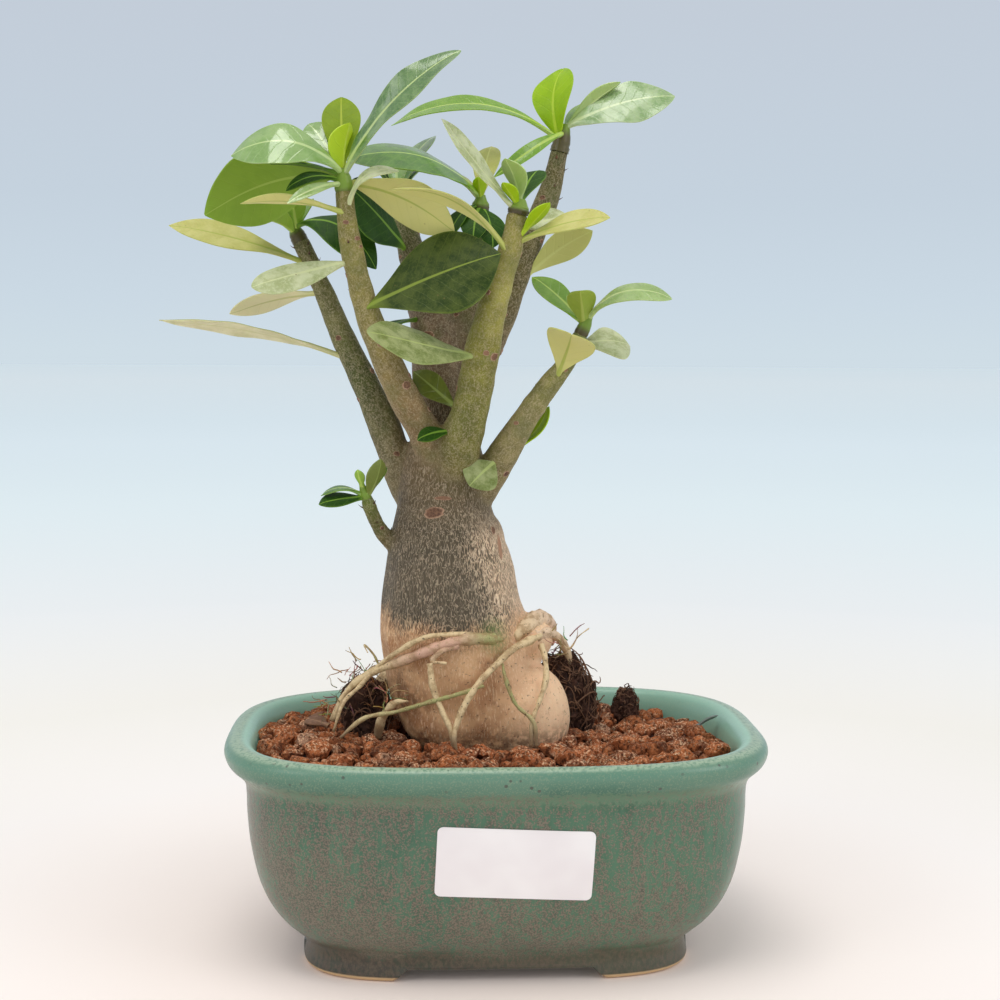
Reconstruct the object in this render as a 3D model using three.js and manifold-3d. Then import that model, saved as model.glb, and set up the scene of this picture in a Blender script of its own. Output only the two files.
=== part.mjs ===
// Potted desert rose (adenium): a swollen stem with seven branches and spatulate leaves, grown in
// coarse lava granules in a small glazed trough. Millimetres, +Z up, pot length along X, front towards -Y.
// The origin is the middle of the whole plant's footprint, on the surface that the pot stands on.

import * as THREE from "three";
import { mergeVertices } from "three/addons/utils/BufferGeometryUtils.js";
import Module from "manifold-3d";

const wasm = await Module();
wasm.setup();

// Driving dimensions

const GAP = 0.3; // clearance between touching solids

const POT_HALF_LENGTH = 75; // widest point of the lip
const POT_HEIGHT = 61.6;
const POT_SIDES = 36;
const RIM_DEPTH_RATIO = 0.704; // depth over length at the lip
const FOOT_DEPTH_RATIO = 0.655;
const RIM_SQUARENESS = 3.24; // superellipse exponent of the plan
const FOOT_SQUARENESS = 4;
const FLOOR_TOP = 9.5;
const FLOOR_UNDERSIDE = 3.5;
const DRAIN_RADIUS = 7;
const DRAIN_SIDES = 24;
const FOOT_GAP_FRONT = 25; // half the width of the arch between the front feet
const FOOT_GAP_SIDE = 11;
const FOOT_GAP_HEIGHT = 3.2;

// Outside of the pot from the foot to the lip: half length and height
const POT_OUTSIDE = [
  [53.5, 0], [52.7, 5], [55.6, 9], [60, 13.5], [64.4, 20.5], [67.4, 31], [68.8, 43], [68.9, 49.8],
  [70.4, 52.2], [73, 54], [POT_HALF_LENGTH, 57.4], [74.4, 59.8], [72.8, 61.1], [70.4, POT_HEIGHT],
];
// Inside of the pot from the lip down to the floor
const POT_INSIDE = [[67.6, 60.4], [66.2, 57], [64.6, 45], [62.4, 30], [57, 16], [48, FLOOR_TOP]];
const FOOT_RING_INSIDE = 45;

const LABEL_LENGTH = 41;
const LABEL_HEIGHT = 19.3;
const LABEL_THICKNESS = 0.6;
const LABEL_CENTRE_X = 3;
const LABEL_CENTRE_Z = 35.5;
const LABEL_TILT = -2.5; // degrees
const LABEL_CORNER = 1.4;

const SCREEN_RADIUS = 11;
const SCREEN_THICKNESS = 1;
const SCREEN_HOLE = 1.6;
const SCREEN_PITCH = 4.4;
const SCREEN_SIDES = 12;
const POCKET_DEPTH = 8; // of the cut in the soil that clears the screen

const SOIL_EDGE = 55.2; // height of the granules at the wall
const SOIL_MIDDLE = 59.6;
const SOIL_SEED = 7;
const GRANULE_RINGS = 12; // steps of relief from the wall to the stem, two to a granule
const GRANULE_SIDES = 62;
const GRANULE_HEIGHT = 2.6;
const GRANULE_UNEVENNESS = 0.9; // height range of the hollows between granules
const GRANULE_TURN = 0.7; // how far a corner may turn, over the angle of a side
const GRANULE_SPREAD = 0.022; // how far a corner may move in or out, over its distance from the middle
const RELIEF_INSIDE = 14; // half length where the relief stops, under the stem

const CAUDEX_SIDES = 18;
const CAUDEX_RINGS = 13;
const BRANCH_SIDES = 7;
const ROOT_SIDES = 5;

const LEAF_THICKNESS = 0.7;
const STALK_THICKNESS = 1.5;
const STALK_WIDTH = 1.5;
const LEAF_TIP_WIDTH = 0.8;
const LEAF_TIP = 0.75; // power of the outline, where a leaf gives none
const LEAF_STEPS = 6;
const SHORT_LEAF = 16.5; // leaves shorter than this have fewer steps
const SHORT_LEAF_STEPS = 4;
const WIDE_LEAF = 18; // leaves wider than this get more faces across

// Swollen stem: middle of the section, radius
const CAUDEX = [
  { at: [-8, 6, 32], radius: 10 },
  { at: [-5, 6, 46], radius: 18 },
  { at: [-4, 6, 62], radius: 21.5 },
  { at: [-9, 6, 76], radius: 22 },
  { at: [-12, 6, 90], radius: 20.9 },
  { at: [-13.1, 6, 104], radius: 18.8 },
  { at: [-13.9, 6, 115], radius: 15.8 },
  { at: [-14.3, 6.5, 124], radius: 12.9 },
  { at: [-14.4, 7.5, 134], radius: 11.6 },
  { at: [-14.5, 9, 145], radius: 9 },
];

// Lobes that the stem swells into at the soil: middle and half sizes
const LOBES = [
  { at: [-10, 0, 64], size: [15.5, 15.5, 15] },
  { at: [9, -3, 64], size: [12.5, 12, 16] },
  { at: [8, 3, 85], size: [8.6, 9, 8] },
  { at: [-1.2, 5, 112.5], size: [4.2, 6, 8] },
];

// Branches from the stem outwards: points along the middle, and the radius at each
const BRANCHES = {
  farLeft: {
    points: [[-21, 9, 120], [-26.5, 12, 132], [-31.3, 14, 145], [-37.2, 16, 158], [-43, 18, 170],
      [-48.6, 20, 183], [-55.4, 20, 197.6]],
    radii: [4.8, 4.9, 4.6, 4.1, 3.5, 3, 2.4],
  },
  frontLeft: {
    points: [[-14.5, 3, 130], [-18.7, 0, 142], [-25.1, -4, 153], [-30.7, -7, 165], [-35.2, -8, 176],
      [-38.2, -10, 187], [-40.4, -11, 198], [-41.4, -12, 209]],
    radii: [5.2, 4.9, 4.5, 4.1, 3.6, 3.2, 2.9, 2.6],
  },
  middle: {
    points: [[-14, 9, 134], [-14.5, 13, 150], [-16, 17, 166], [-18, 20, 179], [-22, 22, 190],
      [-25, 24, 200], [-27, 25, 208]],
    radii: [9, 8.4, 8, 6.6, 4.6, 3.6, 2.8],
  },
  middleRight: {
    points: [[-11, 16, 156], [-8, 19, 170], [-6, 20, 182], [-4.5, 18, 195], [-4, 16, 206]],
    radii: [6.5, 5.6, 4.4, 3.5, 2.7],
  },
  frontRight: {
    points: [[-13, 3, 126], [-10.8, -1, 138], [-7.2, -5, 151], [-4.9, -7, 163], [-2.6, -8, 174], [0, -9, 184],
      [3.4, -10, 195], [5.1, -10.5, 203.5]],
    radii: [6, 6, 5.5, 5.1, 4.5, 3.7, 3.2, 3],
  },
  rearRight: {
    points: [[-9, 13, 148], [-6.2, 15, 158], [-1, 18, 169], [3.8, 20, 180], [7.8, 22, 191], [12.8, 24, 203],
      [17, 26, 214], [19.4, 26, 224.5]],
    radii: [5, 4.6, 4.2, 4, 3.8, 3.6, 3.3, 2.7],
  },
  lowRight: {
    points: [[-9.6, 6, 121], [-4.3, 4, 128], [1, 2, 136], [5, 0, 143], [9.4, -2, 150], [14.3, -3, 157],
      [19.2, -4, 163.5], [23, -4, 171.2]],
    radii: [5.6, 5.2, 4.4, 3.8, 3.3, 3, 2.6, 2],
  },
  twig: {
    points: [[-24, 4, 110], [-30, 2, 113.5], [-33, 0, 118], [-35, -3, 123], [-36, -4, 126]],
    radii: [3, 2.4, 2, 1.9, 1.5],
  },
};

// Roots that show above the soil, each from the stem outwards
const ROOTS = {
  thickLeft: {
    points: [[-1, -13, 88], [-8, -16.5, 88.5], [-15, -16.5, 87], [-22, -13.5, 84], [-29, -8.5, 80],
      [-36, -6, 76.5], [-42, -6, 71], [-46, -6, 62]],
    radii: [2.6, 2.5, 2.3, 2, 1.8, 1.6, 1.4, 1],
  },
  upperLeft: {
    points: [[-9, -16.5, 90], [-19, -15, 89], [-27, -10.5, 84.5], [-34, -7, 79], [-38, -8, 73],
      [-42, -10, 65], [-45, -12, 56]],
    radii: [1.3, 1.3, 1.3, 1.2, 1.1, 1, 0.8],
  },
  downLeft: {
    points: [[-19, -15, 84], [-18, -17, 76], [-15.5, -18.5, 70], [-13, -21, 64], [-12.5, -22, 55]],
    radii: [1.1, 1, 1, 0.9, 0.7],
  },
  crossing: {
    points: [[-2, -15.5, 77], [-11, -17.5, 74], [-19.5, -17, 71.5], [-28, -15, 68.5], [-37, -14, 65.5],
      [-46, -14, 58]],
    radii: [0.9, 0.9, 0.9, 0.9, 0.8, 0.7],
  },
  longRight: {
    points: [[9, -8, 87], [4.5, -12, 85], [0, -15.5, 81.5], [-5, -17.5, 77], [-9, -19, 72], [-11.5, -21, 66],
      [-12, -22.5, 60]],
    radii: [1.6, 1.4, 1.2, 1.1, 1.1, 1, 0.8],
  },
  thinRight: {
    points: [[0.5, -14, 83], [2, -15.5, 78], [4.5, -16, 71], [9.5, -17, 66], [10.5, -18, 57]],
    radii: [0.8, 0.8, 0.8, 0.7, 0.7],
  },
  sideRight: {
    points: [[12.5, -5, 86], [14, -8, 81.5], [14, -11, 76.5], [11.5, -14, 71], [9.5, -16, 66]],
    radii: [1.1, 1.1, 1, 0.9, 0.8],
  },
  knobRight: {
    points: [[4.5, -5, 87], [9.5, -1, 90], [13, 3, 91], [15, 5, 88], [15, 6, 82]],
    radii: [2.2, 2.6, 2.8, 2.8, 2.2],
  },
  hookRight: {
    points: [[11, -4, 87], [15.5, 0, 87.5], [19.5, 4, 84.5], [22, 6, 79], [23.5, 7, 70], [24, 8, 58]],
    radii: [2, 2.1, 1.9, 1.5, 1.2, 0.9],
  },
  rearLeft: {
    points: [[-24, 10, 76], [-31, 10, 72], [-36, 10, 66], [-39, 10, 56]],
    radii: [3.2, 2.6, 1.8, 1.1],
  },
};

// Tones of the leaves
const TONES = {
  dark: 0x2f5a2a,
  glossy: 0x5e9a3f,
  fresh: 0x8fc22e,
  silver: 0x8fa67f,
  pale: 0xc9c98a,
};

// Leaves at the end of each branch. up is how far above the branch's end the leaf starts; heading is
// its direction seen from above (0 towards +X, 90 towards +Y), rise its angle above level; bow is how
// far the middle stands out of the straight line, over the length; roll turns the face about that line;
// fold lifts the edges, over the half width; wave is the height of the waves in the edges, over the width;
// tip is the power that shapes the outline.
const CROWNS = {
  frontLeft: [
    { up: 3, heading: -16, rise: 45, length: 45.5, width: 10, bow: 0.11, roll: 59, fold: 0.15, wave: 0.05,
      tip: 0.62 },
    { up: 4, heading: -172, rise: 8, length: 29.5, width: 14, bow: 0.3, roll: -55, fold: -0.1 },
    { up: 2.5, heading: -50, rise: 79, length: 15, width: 10, bow: 0.07, roll: 17, fold: 0.3 },
    { up: 1.5, heading: -139, rise: -19, length: 19.5, width: 3.5, bow: 0.09, roll: -43, fold: 0.2 },
    { up: 2, heading: -171, rise: -10, length: 15.5, width: 6, bow: 0.18, roll: -35, fold: 0.1 },
    { up: 4, heading: 172, rise: 8, length: 21, width: 6, bow: 0.05, roll: -8, fold: 0.1 },
    { up: 4, heading: 138, rise: 48, length: 19, width: 9, bow: 0.1, roll: -40, fold: 0.1 },
    { up: 3.5, heading: 171, rise: -15, length: 39, width: 23, bow: 0.18, roll: 47, fold: -0.1, tip: 0.8 },
    { up: 4.5, heading: 94, rise: 64, length: 23.5, width: 10.5, bow: 0.08, roll: -4, fold: 0.1 },
    { up: 2, heading: 7, rise: -23, length: 32.5, width: 15.5, bow: 0.14, roll: -44, fold: -0.1 },
  ],
  farLeft: [
    { up: 2, heading: -130, rise: 11, length: 16, width: 9, bow: 0.1, roll: 10, fold: 0.45 },
    { up: 2, heading: -150, rise: 69, length: 20, width: 9, bow: -0.04, roll: 30, fold: 0.1 },
    { up: 2, heading: -95, rise: 42, length: 15, width: 7, bow: 0.1, roll: 0, fold: 0.3 },
    { up: 2, heading: 40, rise: 61, length: 12, width: 6, bow: 0.1, roll: 0, fold: 0.1 },
    { up: 4, heading: -24, rise: -25, length: 28.5, width: 15, bow: 0.28, roll: 32, fold: -0.1 },
  ],
  middle: [
    { up: 2, heading: 39, rise: 54, length: 24, width: 9, bow: 0.1, roll: 0, fold: 0.1 },
    { up: 2, heading: 70, rise: 30, length: 26, width: 12, bow: 0.15, roll: 0, fold: 0.1 },
    { up: 2, heading: 150, rise: 34, length: 26, width: 12, bow: 0.15, roll: 0, fold: 0.1 },
    { up: 3, heading: 100, rise: 70, length: 16, width: 7, bow: 0.05, roll: 0, fold: 0.2 },
  ],
  middleRight: [
    { up: 3.5, heading: -162, rise: 13, length: 40.5, width: 19, bow: 0.17, roll: -30, fold: -0.1,
      tip: 0.66 },
    { up: 1, heading: -103, rise: -44, length: 15, width: 8, bow: 0.15, roll: 0, fold: 0.1 },
    { up: 1, heading: -70, rise: -52, length: 15, width: 9, bow: 0.15, roll: 0, fold: 0.1 },
    { up: 2, heading: -143, rise: -43, length: 15, width: 8, bow: 0.15, roll: 0, fold: 0.1 },
    { up: 3, heading: 77, rise: 46, length: 24, width: 8, bow: 0.08, roll: 0, fold: 0.1 },
    { up: 3, heading: 137, rise: 29, length: 21, width: 8, bow: 0.08, roll: 0, fold: 0.1 },
    { up: 3, heading: -100, rise: 50, length: 8, width: 4, bow: 0, roll: 0, fold: 0.3 },
  ],
  frontRight: [
    { up: 0, heading: -151, rise: 44, length: 33, width: 10.5, bow: -0.02, roll: -50, fold: 0.15, tip: 0.84 },
    { up: 2.5, heading: -132, rise: 61, length: 13, width: 8.5, bow: 0.1, roll: -7, fold: 0.1 },
    { up: 1, heading: -126, rise: 39, length: 10, width: 4.5, bow: 0.05, roll: 0, fold: 0.2 },
    { up: 2, heading: 60, rise: 41, length: 16, width: 8.5, bow: 0.08, roll: 0, fold: 0.1 },
  ],
  rearRight: [
    { up: 2, heading: 80, rise: 75, length: 23, width: 14, bow: 0.2, roll: -29, fold: 0.15 },
    { up: 6.5, heading: -6, rise: 16, length: 33, width: 14, bow: 0.11, roll: 59, fold: -0.06, wave: 0.03 },
    { up: 5, heading: 44, rise: 38, length: 18, width: 9, bow: 0.05, roll: 0, fold: 0.1 },
    { up: 6, heading: -15, rise: 39, length: 21, width: 4.5, bow: 0.06, roll: -33, fold: 0.5 },
    { up: 5, heading: -144, rise: -29, length: 29.5, width: 4, bow: 0.18, roll: -64, fold: 0.3 },
    { up: 2.5, heading: 179, rise: 5, length: 49.5, width: 9.5, bow: 0.18, roll: -32, fold: 0.1, tip: 0.86 },
  ],
  lowRight: [
    { up: 2.5, heading: 156, rise: 41, length: 20.5, width: 9.5, bow: 0.05, roll: -30, fold: 0.1 },
    { up: 2, heading: -104, rise: 51, length: 12.5, width: 8, bow: 0.1, roll: 8, fold: 0.3 },
    { up: 4.5, heading: -21, rise: 13, length: 24, width: 9, bow: 0.23, roll: 34, fold: -0.06, tip: 0.63 },
  ],
  twig: [
    { up: 0, heading: -163, rise: -7, length: 13.5, width: 7.5, bow: 0.04, roll: -25, fold: 0.1 },
    { up: 0, heading: -172, rise: 3, length: 12.5, width: 4, bow: 0.19, roll: -15, fold: 0.1 },
    { up: 0, heading: -38, rise: 65, length: 12, width: 8, bow: -0.06, roll: 0, fold: 0.1 },
    { up: 0, heading: 34, rise: 50, length: 10.5, width: 4.5, bow: 0.02, roll: 0, fold: 0.1 },
    { up: 3, heading: -117, rise: 61, length: 6, width: 3, bow: 0, roll: 0, fold: 0.1 },
  ],
};

// Older leaves that still stand along the branches. along is the place on the branch, 0 to 1, and side
// the direction in which the stalk leaves it, where that isn't the leaf's heading.
const SINGLE_LEAVES = {
  leaf_left_recurved: { branch: "frontLeft", along: 0.92, side: -110, heading: -163, rise: 3, length: 27.5,
    width: 6, bow: 0.08, roll: 17, fold: 0.1, tone: "pale" },
  leaf_right_recurved: { branch: "frontLeft", along: 0.95, side: -60, heading: -10, rise: 32, length: 16,
    width: 6, bow: 0.24, roll: 35, fold: 0.1, tone: "silver" },
  leaf_broad_front: { branch: "frontLeft", along: 0.59, side: -100, heading: -8, rise: 22, length: 39.5,
    width: 24.5, bow: 0.06, roll: 66, fold: -0.06, tip: 0.83, tone: "dark" },
  leaf_left_mottled: { branch: "frontLeft", along: 0.75, heading: -156, rise: -15, length: 27.5, width: 9.5,
    bow: 0.02, roll: -46, fold: -0.1, tip: 0.58, tone: "silver" },
  leaf_left_yellow: { branch: "farLeft", along: 0.93, heading: -167, rise: 14, length: 39, width: 11,
    bow: 0.04, roll: -42, fold: 0.1, tip: 0.86, tone: "pale" },
  leaf_left_tan: { branch: "farLeft", along: 0.83, heading: 171, rise: -13, length: 26.5, width: 9,
    bow: 0.06, roll: 33, fold: -0.1, tone: "pale" },
  leaf_left_long: { branch: "farLeft", along: 0.59, heading: -172, rise: 11, length: 52.5, width: 10,
    bow: 0.05, roll: 18, fold: -0.12, tip: 0.86, tone: "pale" },
  leaf_middle_dark: { branch: "middle", along: 0.75, heading: -126, rise: 31, length: 31.5, width: 18,
    bow: 0.03, roll: -78, fold: -0.06, tone: "dark" },
  leaf_middle_low: { branch: "middle", along: 0.45, heading: -139, rise: -16, length: 16, width: 7,
    bow: 0.08, roll: 0, fold: 0.1, tone: "dark" },
  leaf_middle_small: { branch: "frontRight", along: 0.28, heading: 158, rise: 38, length: 16.5, width: 7.5,
    bow: 0.01, roll: -61, fold: 0.1, tone: "glossy" },
  leaf_front_small: { branch: "frontRight", along: 0.21, side: -150, heading: -162, rise: -12, length: 10,
    width: 5.5, bow: 0.11, roll: -36, fold: 0.1, tone: "dark" },
  leaf_right_yellow: { branch: "frontRight", along: 0.87, heading: -21, rise: 13, length: 25.5, width: 10,
    bow: 0.06, roll: 36, fold: 0.1, tone: "pale" },
  leaf_right_sprout: { branch: "frontRight", along: 0.9, heading: -34, rise: 43, length: 12, width: 6,
    bow: 0, roll: -10, fold: 0.1, tone: "fresh" },
  leaf_right_mottled: { branch: "frontRight", along: 0.93, heading: 14, rise: 14, length: 14, width: 9,
    bow: 0.05, roll: 50, fold: -0.05, tone: "silver" },
  leaf_front_narrow: { branch: "frontRight", along: 0.83, side: -110, heading: -163, rise: 25, length: 36,
    width: 7, bow: 0.18, roll: 16, fold: -0.3, tone: "pale" },
  leaf_front_grey: { branch: "frontRight", along: 0.45, side: -120, heading: -149, rise: 11, length: 34,
    width: 16.5, bow: 0, roll: -38, fold: -0.08, tip: 0.66, tone: "silver" },
  leaf_rear_olive: { branch: "rearRight", along: 0.53, heading: -14, rise: 34, length: 23.5, width: 10,
    bow: 0.11, roll: -55, fold: -0.05, tone: "pale" },
  leaf_round_low: { branch: "lowRight", along: 0.28, side: -110, heading: -140, rise: -33, length: 11.5,
    width: 11, bow: 0.1, roll: -49, fold: 0.05, tone: "silver" },
  leaf_low_folded: { branch: "lowRight", along: 0.77, heading: -82, rise: 35, length: 19.5, width: 14,
    bow: 0.13, roll: -28, fold: 0.2, tip: 0.84, tone: "pale" },
  leaf_low_mottled: { branch: "lowRight", along: 0.94, heading: 17, rise: 0, length: 15, width: 14.5,
    bow: 0.11, roll: 36, fold: -0.05, tone: "silver" },
  leaf_low_behind: { branch: "lowRight", along: 0.36, heading: 4, rise: 52, length: 14.5, width: 6,
    bow: -0.12, roll: 23, fold: 0.1, tone: "glossy" },
};

// Dark fibrous peat left between the roots: middle and half sizes
const PEAT = {
  peat_left: { at: [-37, 6, 62], size: [8, 9, 11], seed: 3 },
  peat_right: { at: [21, 8.5, 62], size: [10.2, 9.3, 13.6], seed: 11 },
};

// Dry scraps lying on the granules
const FLAKES = [
  { at: [-56, 16, 58.5], heading: 25, rise: 4, length: 11, width: 4.5, roll: 18 },
  { at: [-47, 4, 60], heading: 140, rise: 4, length: 9, width: 6, roll: -12 },
  { at: [-44, 26, 59.5], heading: 60, rise: 4, length: 8, width: 5, roll: 8 },
  { at: [58, 9, 57.2], heading: 18, rise: 22, length: 9, width: 3, roll: -30 },
];

// Materials

const material = (color, roughness) => new THREE.MeshStandardMaterial({ color, roughness, metalness: 0 });
const GLAZE = material(0x2f7f6b, 0.35);
const PAPER = material(0xf5f3ef, 0.6);
const PLASTIC = material(0x333333, 0.6);
const GRANULES = material(0x7c3f2e, 0.95);
const PEAT_FIBRE = material(0x2c1d17, 1);
const DRY_LEAF = material(0x6d4a35, 0.9);
const BARK = material(0x8c8672, 0.8);
const LEAF_MATERIALS = Object.fromEntries(
  Object.entries(TONES).map(([name, colour]) => [name, material(colour, 0.4)]),
);

// Helpers

// Seeded random numbers between 0 and 1
function randomFrom(seed) {
  let state = seed;
  return () => {
    state = (state * 1664525 + 1013904223) % 4294967296;
    return state / 4294967296;
  };
}

function solid(geometry) {
  const bare = geometry.clone();
  bare.deleteAttribute("normal");
  bare.deleteAttribute("uv");
  const merged = mergeVertices(bare, 1e-4);
  return new wasm.Manifold(new wasm.Mesh({
    numProp: 3,
    vertProperties: new Float32Array(merged.attributes.position.array),
    triVerts: new Uint32Array(merged.index.array),
  }));
}

// The largest body of a solid, so that no scrap stays loose
function largestBody(shape) {
  return shape.decompose().reduce((best, body) => (body.volume() > best.volume() ? body : best));
}

function meshOf(name, shape, surface) {
  const { vertProperties, triVerts, numProp } = largestBody(shape).getMesh();
  const geometry = new THREE.BufferGeometry();
  const positions = new THREE.InterleavedBuffer(new Float32Array(vertProperties), numProp);
  geometry.setAttribute("position", new THREE.InterleavedBufferAttribute(positions, 3, 0));
  geometry.setIndex(Array.from(triVerts));
  const plain = geometry.toNonIndexed();
  plain.computeVertexNormals();
  const mesh = new THREE.Mesh(plain, surface);
  mesh.name = name;
  return mesh;
}

function unite(shapes) {
  return shapes.reduce((whole, shape) => whole.add(shape));
}

// Moves every vertex of a geometry by a rule
function reshape(geometry, rule) {
  const { position } = geometry.attributes;
  const point = new THREE.Vector3();
  for (let i = 0; i < position.count; i += 1) {
    point.fromBufferAttribute(position, i);
    rule(point);
    position.setXYZ(i, point.x, point.y, point.z);
  }
  return geometry;
}

// The axis that lies furthest from a direction
function crossAxis(direction) {
  const flat = Math.abs(direction.z) < 0.6 * direction.length();
  return flat ? new THREE.Vector3(0, 0, 1) : new THREE.Vector3(0, 1, 0);
}

function valueAlong(values, t) {
  const place = Math.min(t, 0.9999) * (values.length - 1);
  const low = Math.floor(place);
  return THREE.MathUtils.lerp(values[low], values[low + 1], place - low);
}

function curveThrough(points) {
  return new THREE.CatmullRomCurve3(points.map((p) => new THREE.Vector3(...p)));
}

// A round, tapered stem along a curve. swell adds to the radius, ripple shapes it by height and angle.
function stem({ points, radii }, sides, rings, swell = 0, ripple = () => 1) {
  const curve = curveThrough(points);
  const chord = curve.getPoint(1).sub(curve.getPoint(0));
  const reference = crossAxis(chord);
  return reshape(new THREE.CylinderGeometry(1, 1, 1, sides, rings), (p) => {
    const t = p.y + 0.5;
    const tangent = curve.getTangent(t);
    const side = new THREE.Vector3().crossVectors(tangent, reference).normalize();
    const up = new THREE.Vector3().crossVectors(side, tangent);
    const radius = (valueAlong(radii, t) + swell) * ripple(t, Math.atan2(p.z, p.x));
    const [x, z] = [p.x * radius, p.z * radius];
    p.copy(curve.getPoint(t)).addScaledVector(side, x).addScaledVector(up, z);
    p.addScaledVector(tangent, (2 * t - 1) * swell);
  });
}

// Pot

// Turns a round lathe of half length and height into the trough's rounded-rectangle plan
function troughPlan(point) {
  const height = THREE.MathUtils.clamp(point.z / POT_HEIGHT, 0, 1);
  const ratio = THREE.MathUtils.lerp(FOOT_DEPTH_RATIO, RIM_DEPTH_RATIO, height);
  const power = THREE.MathUtils.lerp(FOOT_SQUARENESS, RIM_SQUARENESS, height);
  const angle = Math.atan2(point.y, point.x);
  const [c, s] = [Math.abs(Math.cos(angle)), Math.abs(Math.sin(angle))];
  const stretch = (c ** power + s ** power) ** (-1 / power);
  point.x *= stretch;
  point.y *= stretch * ratio;
}

function trough(profile) {
  const points = profile.map(([radius, height]) => new THREE.Vector2(radius, height));
  return reshape(new THREE.LatheGeometry(points, POT_SIDES).rotateX(Math.PI / 2), troughPlan);
}

// A tunnel under the pot with quarter-round ends, between two feet
function footArch(halfWidth, length) {
  const shape = new THREE.Shape();
  const h = FOOT_GAP_HEIGHT;
  shape.moveTo(-halfWidth - h, -1);
  shape.lineTo(-halfWidth - h, 0);
  shape.quadraticCurveTo(-halfWidth, 0, -halfWidth, h);
  shape.lineTo(halfWidth, h);
  shape.quadraticCurveTo(halfWidth, 0, halfWidth + h, 0);
  shape.lineTo(halfWidth + h, -1);
  shape.closePath();
  const arch = new THREE.ExtrudeGeometry(shape, { depth: length, bevelEnabled: false, curveSegments: 4 });
  return arch.translate(0, 0, -length / 2).rotateX(Math.PI / 2);
}

function makePot() {
  const body = solid(trough([
    [0, FLOOR_UNDERSIDE], [FOOT_RING_INSIDE - 2, FLOOR_UNDERSIDE], [FOOT_RING_INSIDE, 0],
    ...POT_OUTSIDE, ...POT_INSIDE, [0, FLOOR_TOP],
  ]));
  const drain = new THREE.CylinderGeometry(DRAIN_RADIUS, DRAIN_RADIUS, 4 * FLOOR_TOP, DRAIN_SIDES);
  const across = footArch(FOOT_GAP_FRONT, 3 * POT_HALF_LENGTH);
  const along = footArch(FOOT_GAP_SIDE, 3 * POT_HALF_LENGTH).rotateZ(Math.PI / 2);
  return body.subtract(solid(drain.rotateX(Math.PI / 2))).subtract(solid(across)).subtract(solid(along));
}

// The front wall's own Y at a place on it
function frontWall(x, z) {
  const above = POT_OUTSIDE.findIndex(([, height]) => height >= z);
  const [[lowLength, lowHeight], [highLength, highHeight]] = [POT_OUTSIDE[above - 1], POT_OUTSIDE[above]];
  const half = THREE.MathUtils.mapLinear(z, lowHeight, highHeight, lowLength, highLength);
  const ratio = THREE.MathUtils.lerp(FOOT_DEPTH_RATIO, RIM_DEPTH_RATIO, z / POT_HEIGHT);
  const power = THREE.MathUtils.lerp(FOOT_SQUARENESS, RIM_SQUARENESS, z / POT_HEIGHT);
  return -half * ratio * (1 - Math.abs(x / half) ** power) ** (1 / power);
}

// A blank sticker that follows the curve of the front wall
function makeLabel() {
  const tilt = THREE.MathUtils.degToRad(LABEL_TILT);
  const sheet = new THREE.BoxGeometry(LABEL_LENGTH, LABEL_HEIGHT, LABEL_THICKNESS, 8, 5, 1);
  return solid(reshape(sheet, (p) => {
    const corner = Math.abs(p.x) > LABEL_LENGTH / 2 - 0.1 && Math.abs(p.y) > LABEL_HEIGHT / 2 - 0.1;
    const inset = corner ? LABEL_CORNER * (1 - Math.SQRT1_2) : 0;
    const [u, v] = [p.x - Math.sign(p.x) * inset, p.y - Math.sign(p.y) * inset];
    const x = LABEL_CENTRE_X + u * Math.cos(tilt) - v * Math.sin(tilt);
    const z = LABEL_CENTRE_Z + u * Math.sin(tilt) + v * Math.cos(tilt);
    const clear = GAP + LABEL_THICKNESS / 2 + p.z;
    p.set(x, frontWall(x, z) - clear, z);
  }));
}

// A plastic mesh disc over the drain hole
function makeScreen() {
  const disc = new THREE.CylinderGeometry(SCREEN_RADIUS, SCREEN_RADIUS, SCREEN_THICKNESS, SCREEN_SIDES);
  let screen = solid(disc.rotateX(Math.PI / 2).translate(0, 0, FLOOR_TOP + GAP + SCREEN_THICKNESS / 2));
  for (let row = -1; row <= 1; row += 1) {
    for (let column = -1; column <= 1; column += 1) {
      const hole = new THREE.CylinderGeometry(SCREEN_HOLE, SCREEN_HOLE, 40, 6).rotateX(Math.PI / 2);
      screen = screen.subtract(solid(hole.translate(column * SCREEN_PITCH, row * SCREEN_PITCH, 0)));
    }
  }
  return screen;
}

// Plant

// Shallow folds and hollows round the swollen stem, deeper towards the soil
function caudexRipple(t, angle) {
  const low = Math.max(0, 0.5 - t);
  return 1 + low * 0.1 * Math.sin(3 * angle + 0.6) + 0.018 * Math.sin(5 * angle + 9 * t);
}

function makePlant(swell = 0) {
  const stemParts = { points: CAUDEX.map((c) => c.at), radii: CAUDEX.map((c) => c.radius) };
  const caudex = stem(stemParts, CAUDEX_SIDES, CAUDEX_RINGS, swell, caudexRipple);
  const lobes = LOBES.map(({ at, size }) => {
    const [x, y, z] = size.map((half) => half + swell);
    return new THREE.SphereGeometry(1, 12, 7).scale(x, y, z).translate(...at);
  });
  const branches = Object.values(BRANCHES).map((branch) => (
    stem(branch, BRANCH_SIDES, branch.points.length + 3, swell)
  ));
  const roots = Object.values(ROOTS).map((root) => stem(root, ROOT_SIDES, 2 * root.points.length - 4, swell));
  return unite([caudex, ...lobes, ...branches, ...roots].map(solid));
}

// Leaves

const unitVector = (heading, rise) => new THREE.Vector3(
  Math.cos(heading) * Math.cos(rise),
  Math.sin(heading) * Math.cos(rise),
  Math.sin(rise),
);

// Half width of a spatulate leaf over its widest, from the stalk at 0 to the tip at 1. A smaller power
// makes the tip rounder.
function leafOutline(u, power) {
  return Math.sin(Math.PI * u ** 1.55) ** power;
}

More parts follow.
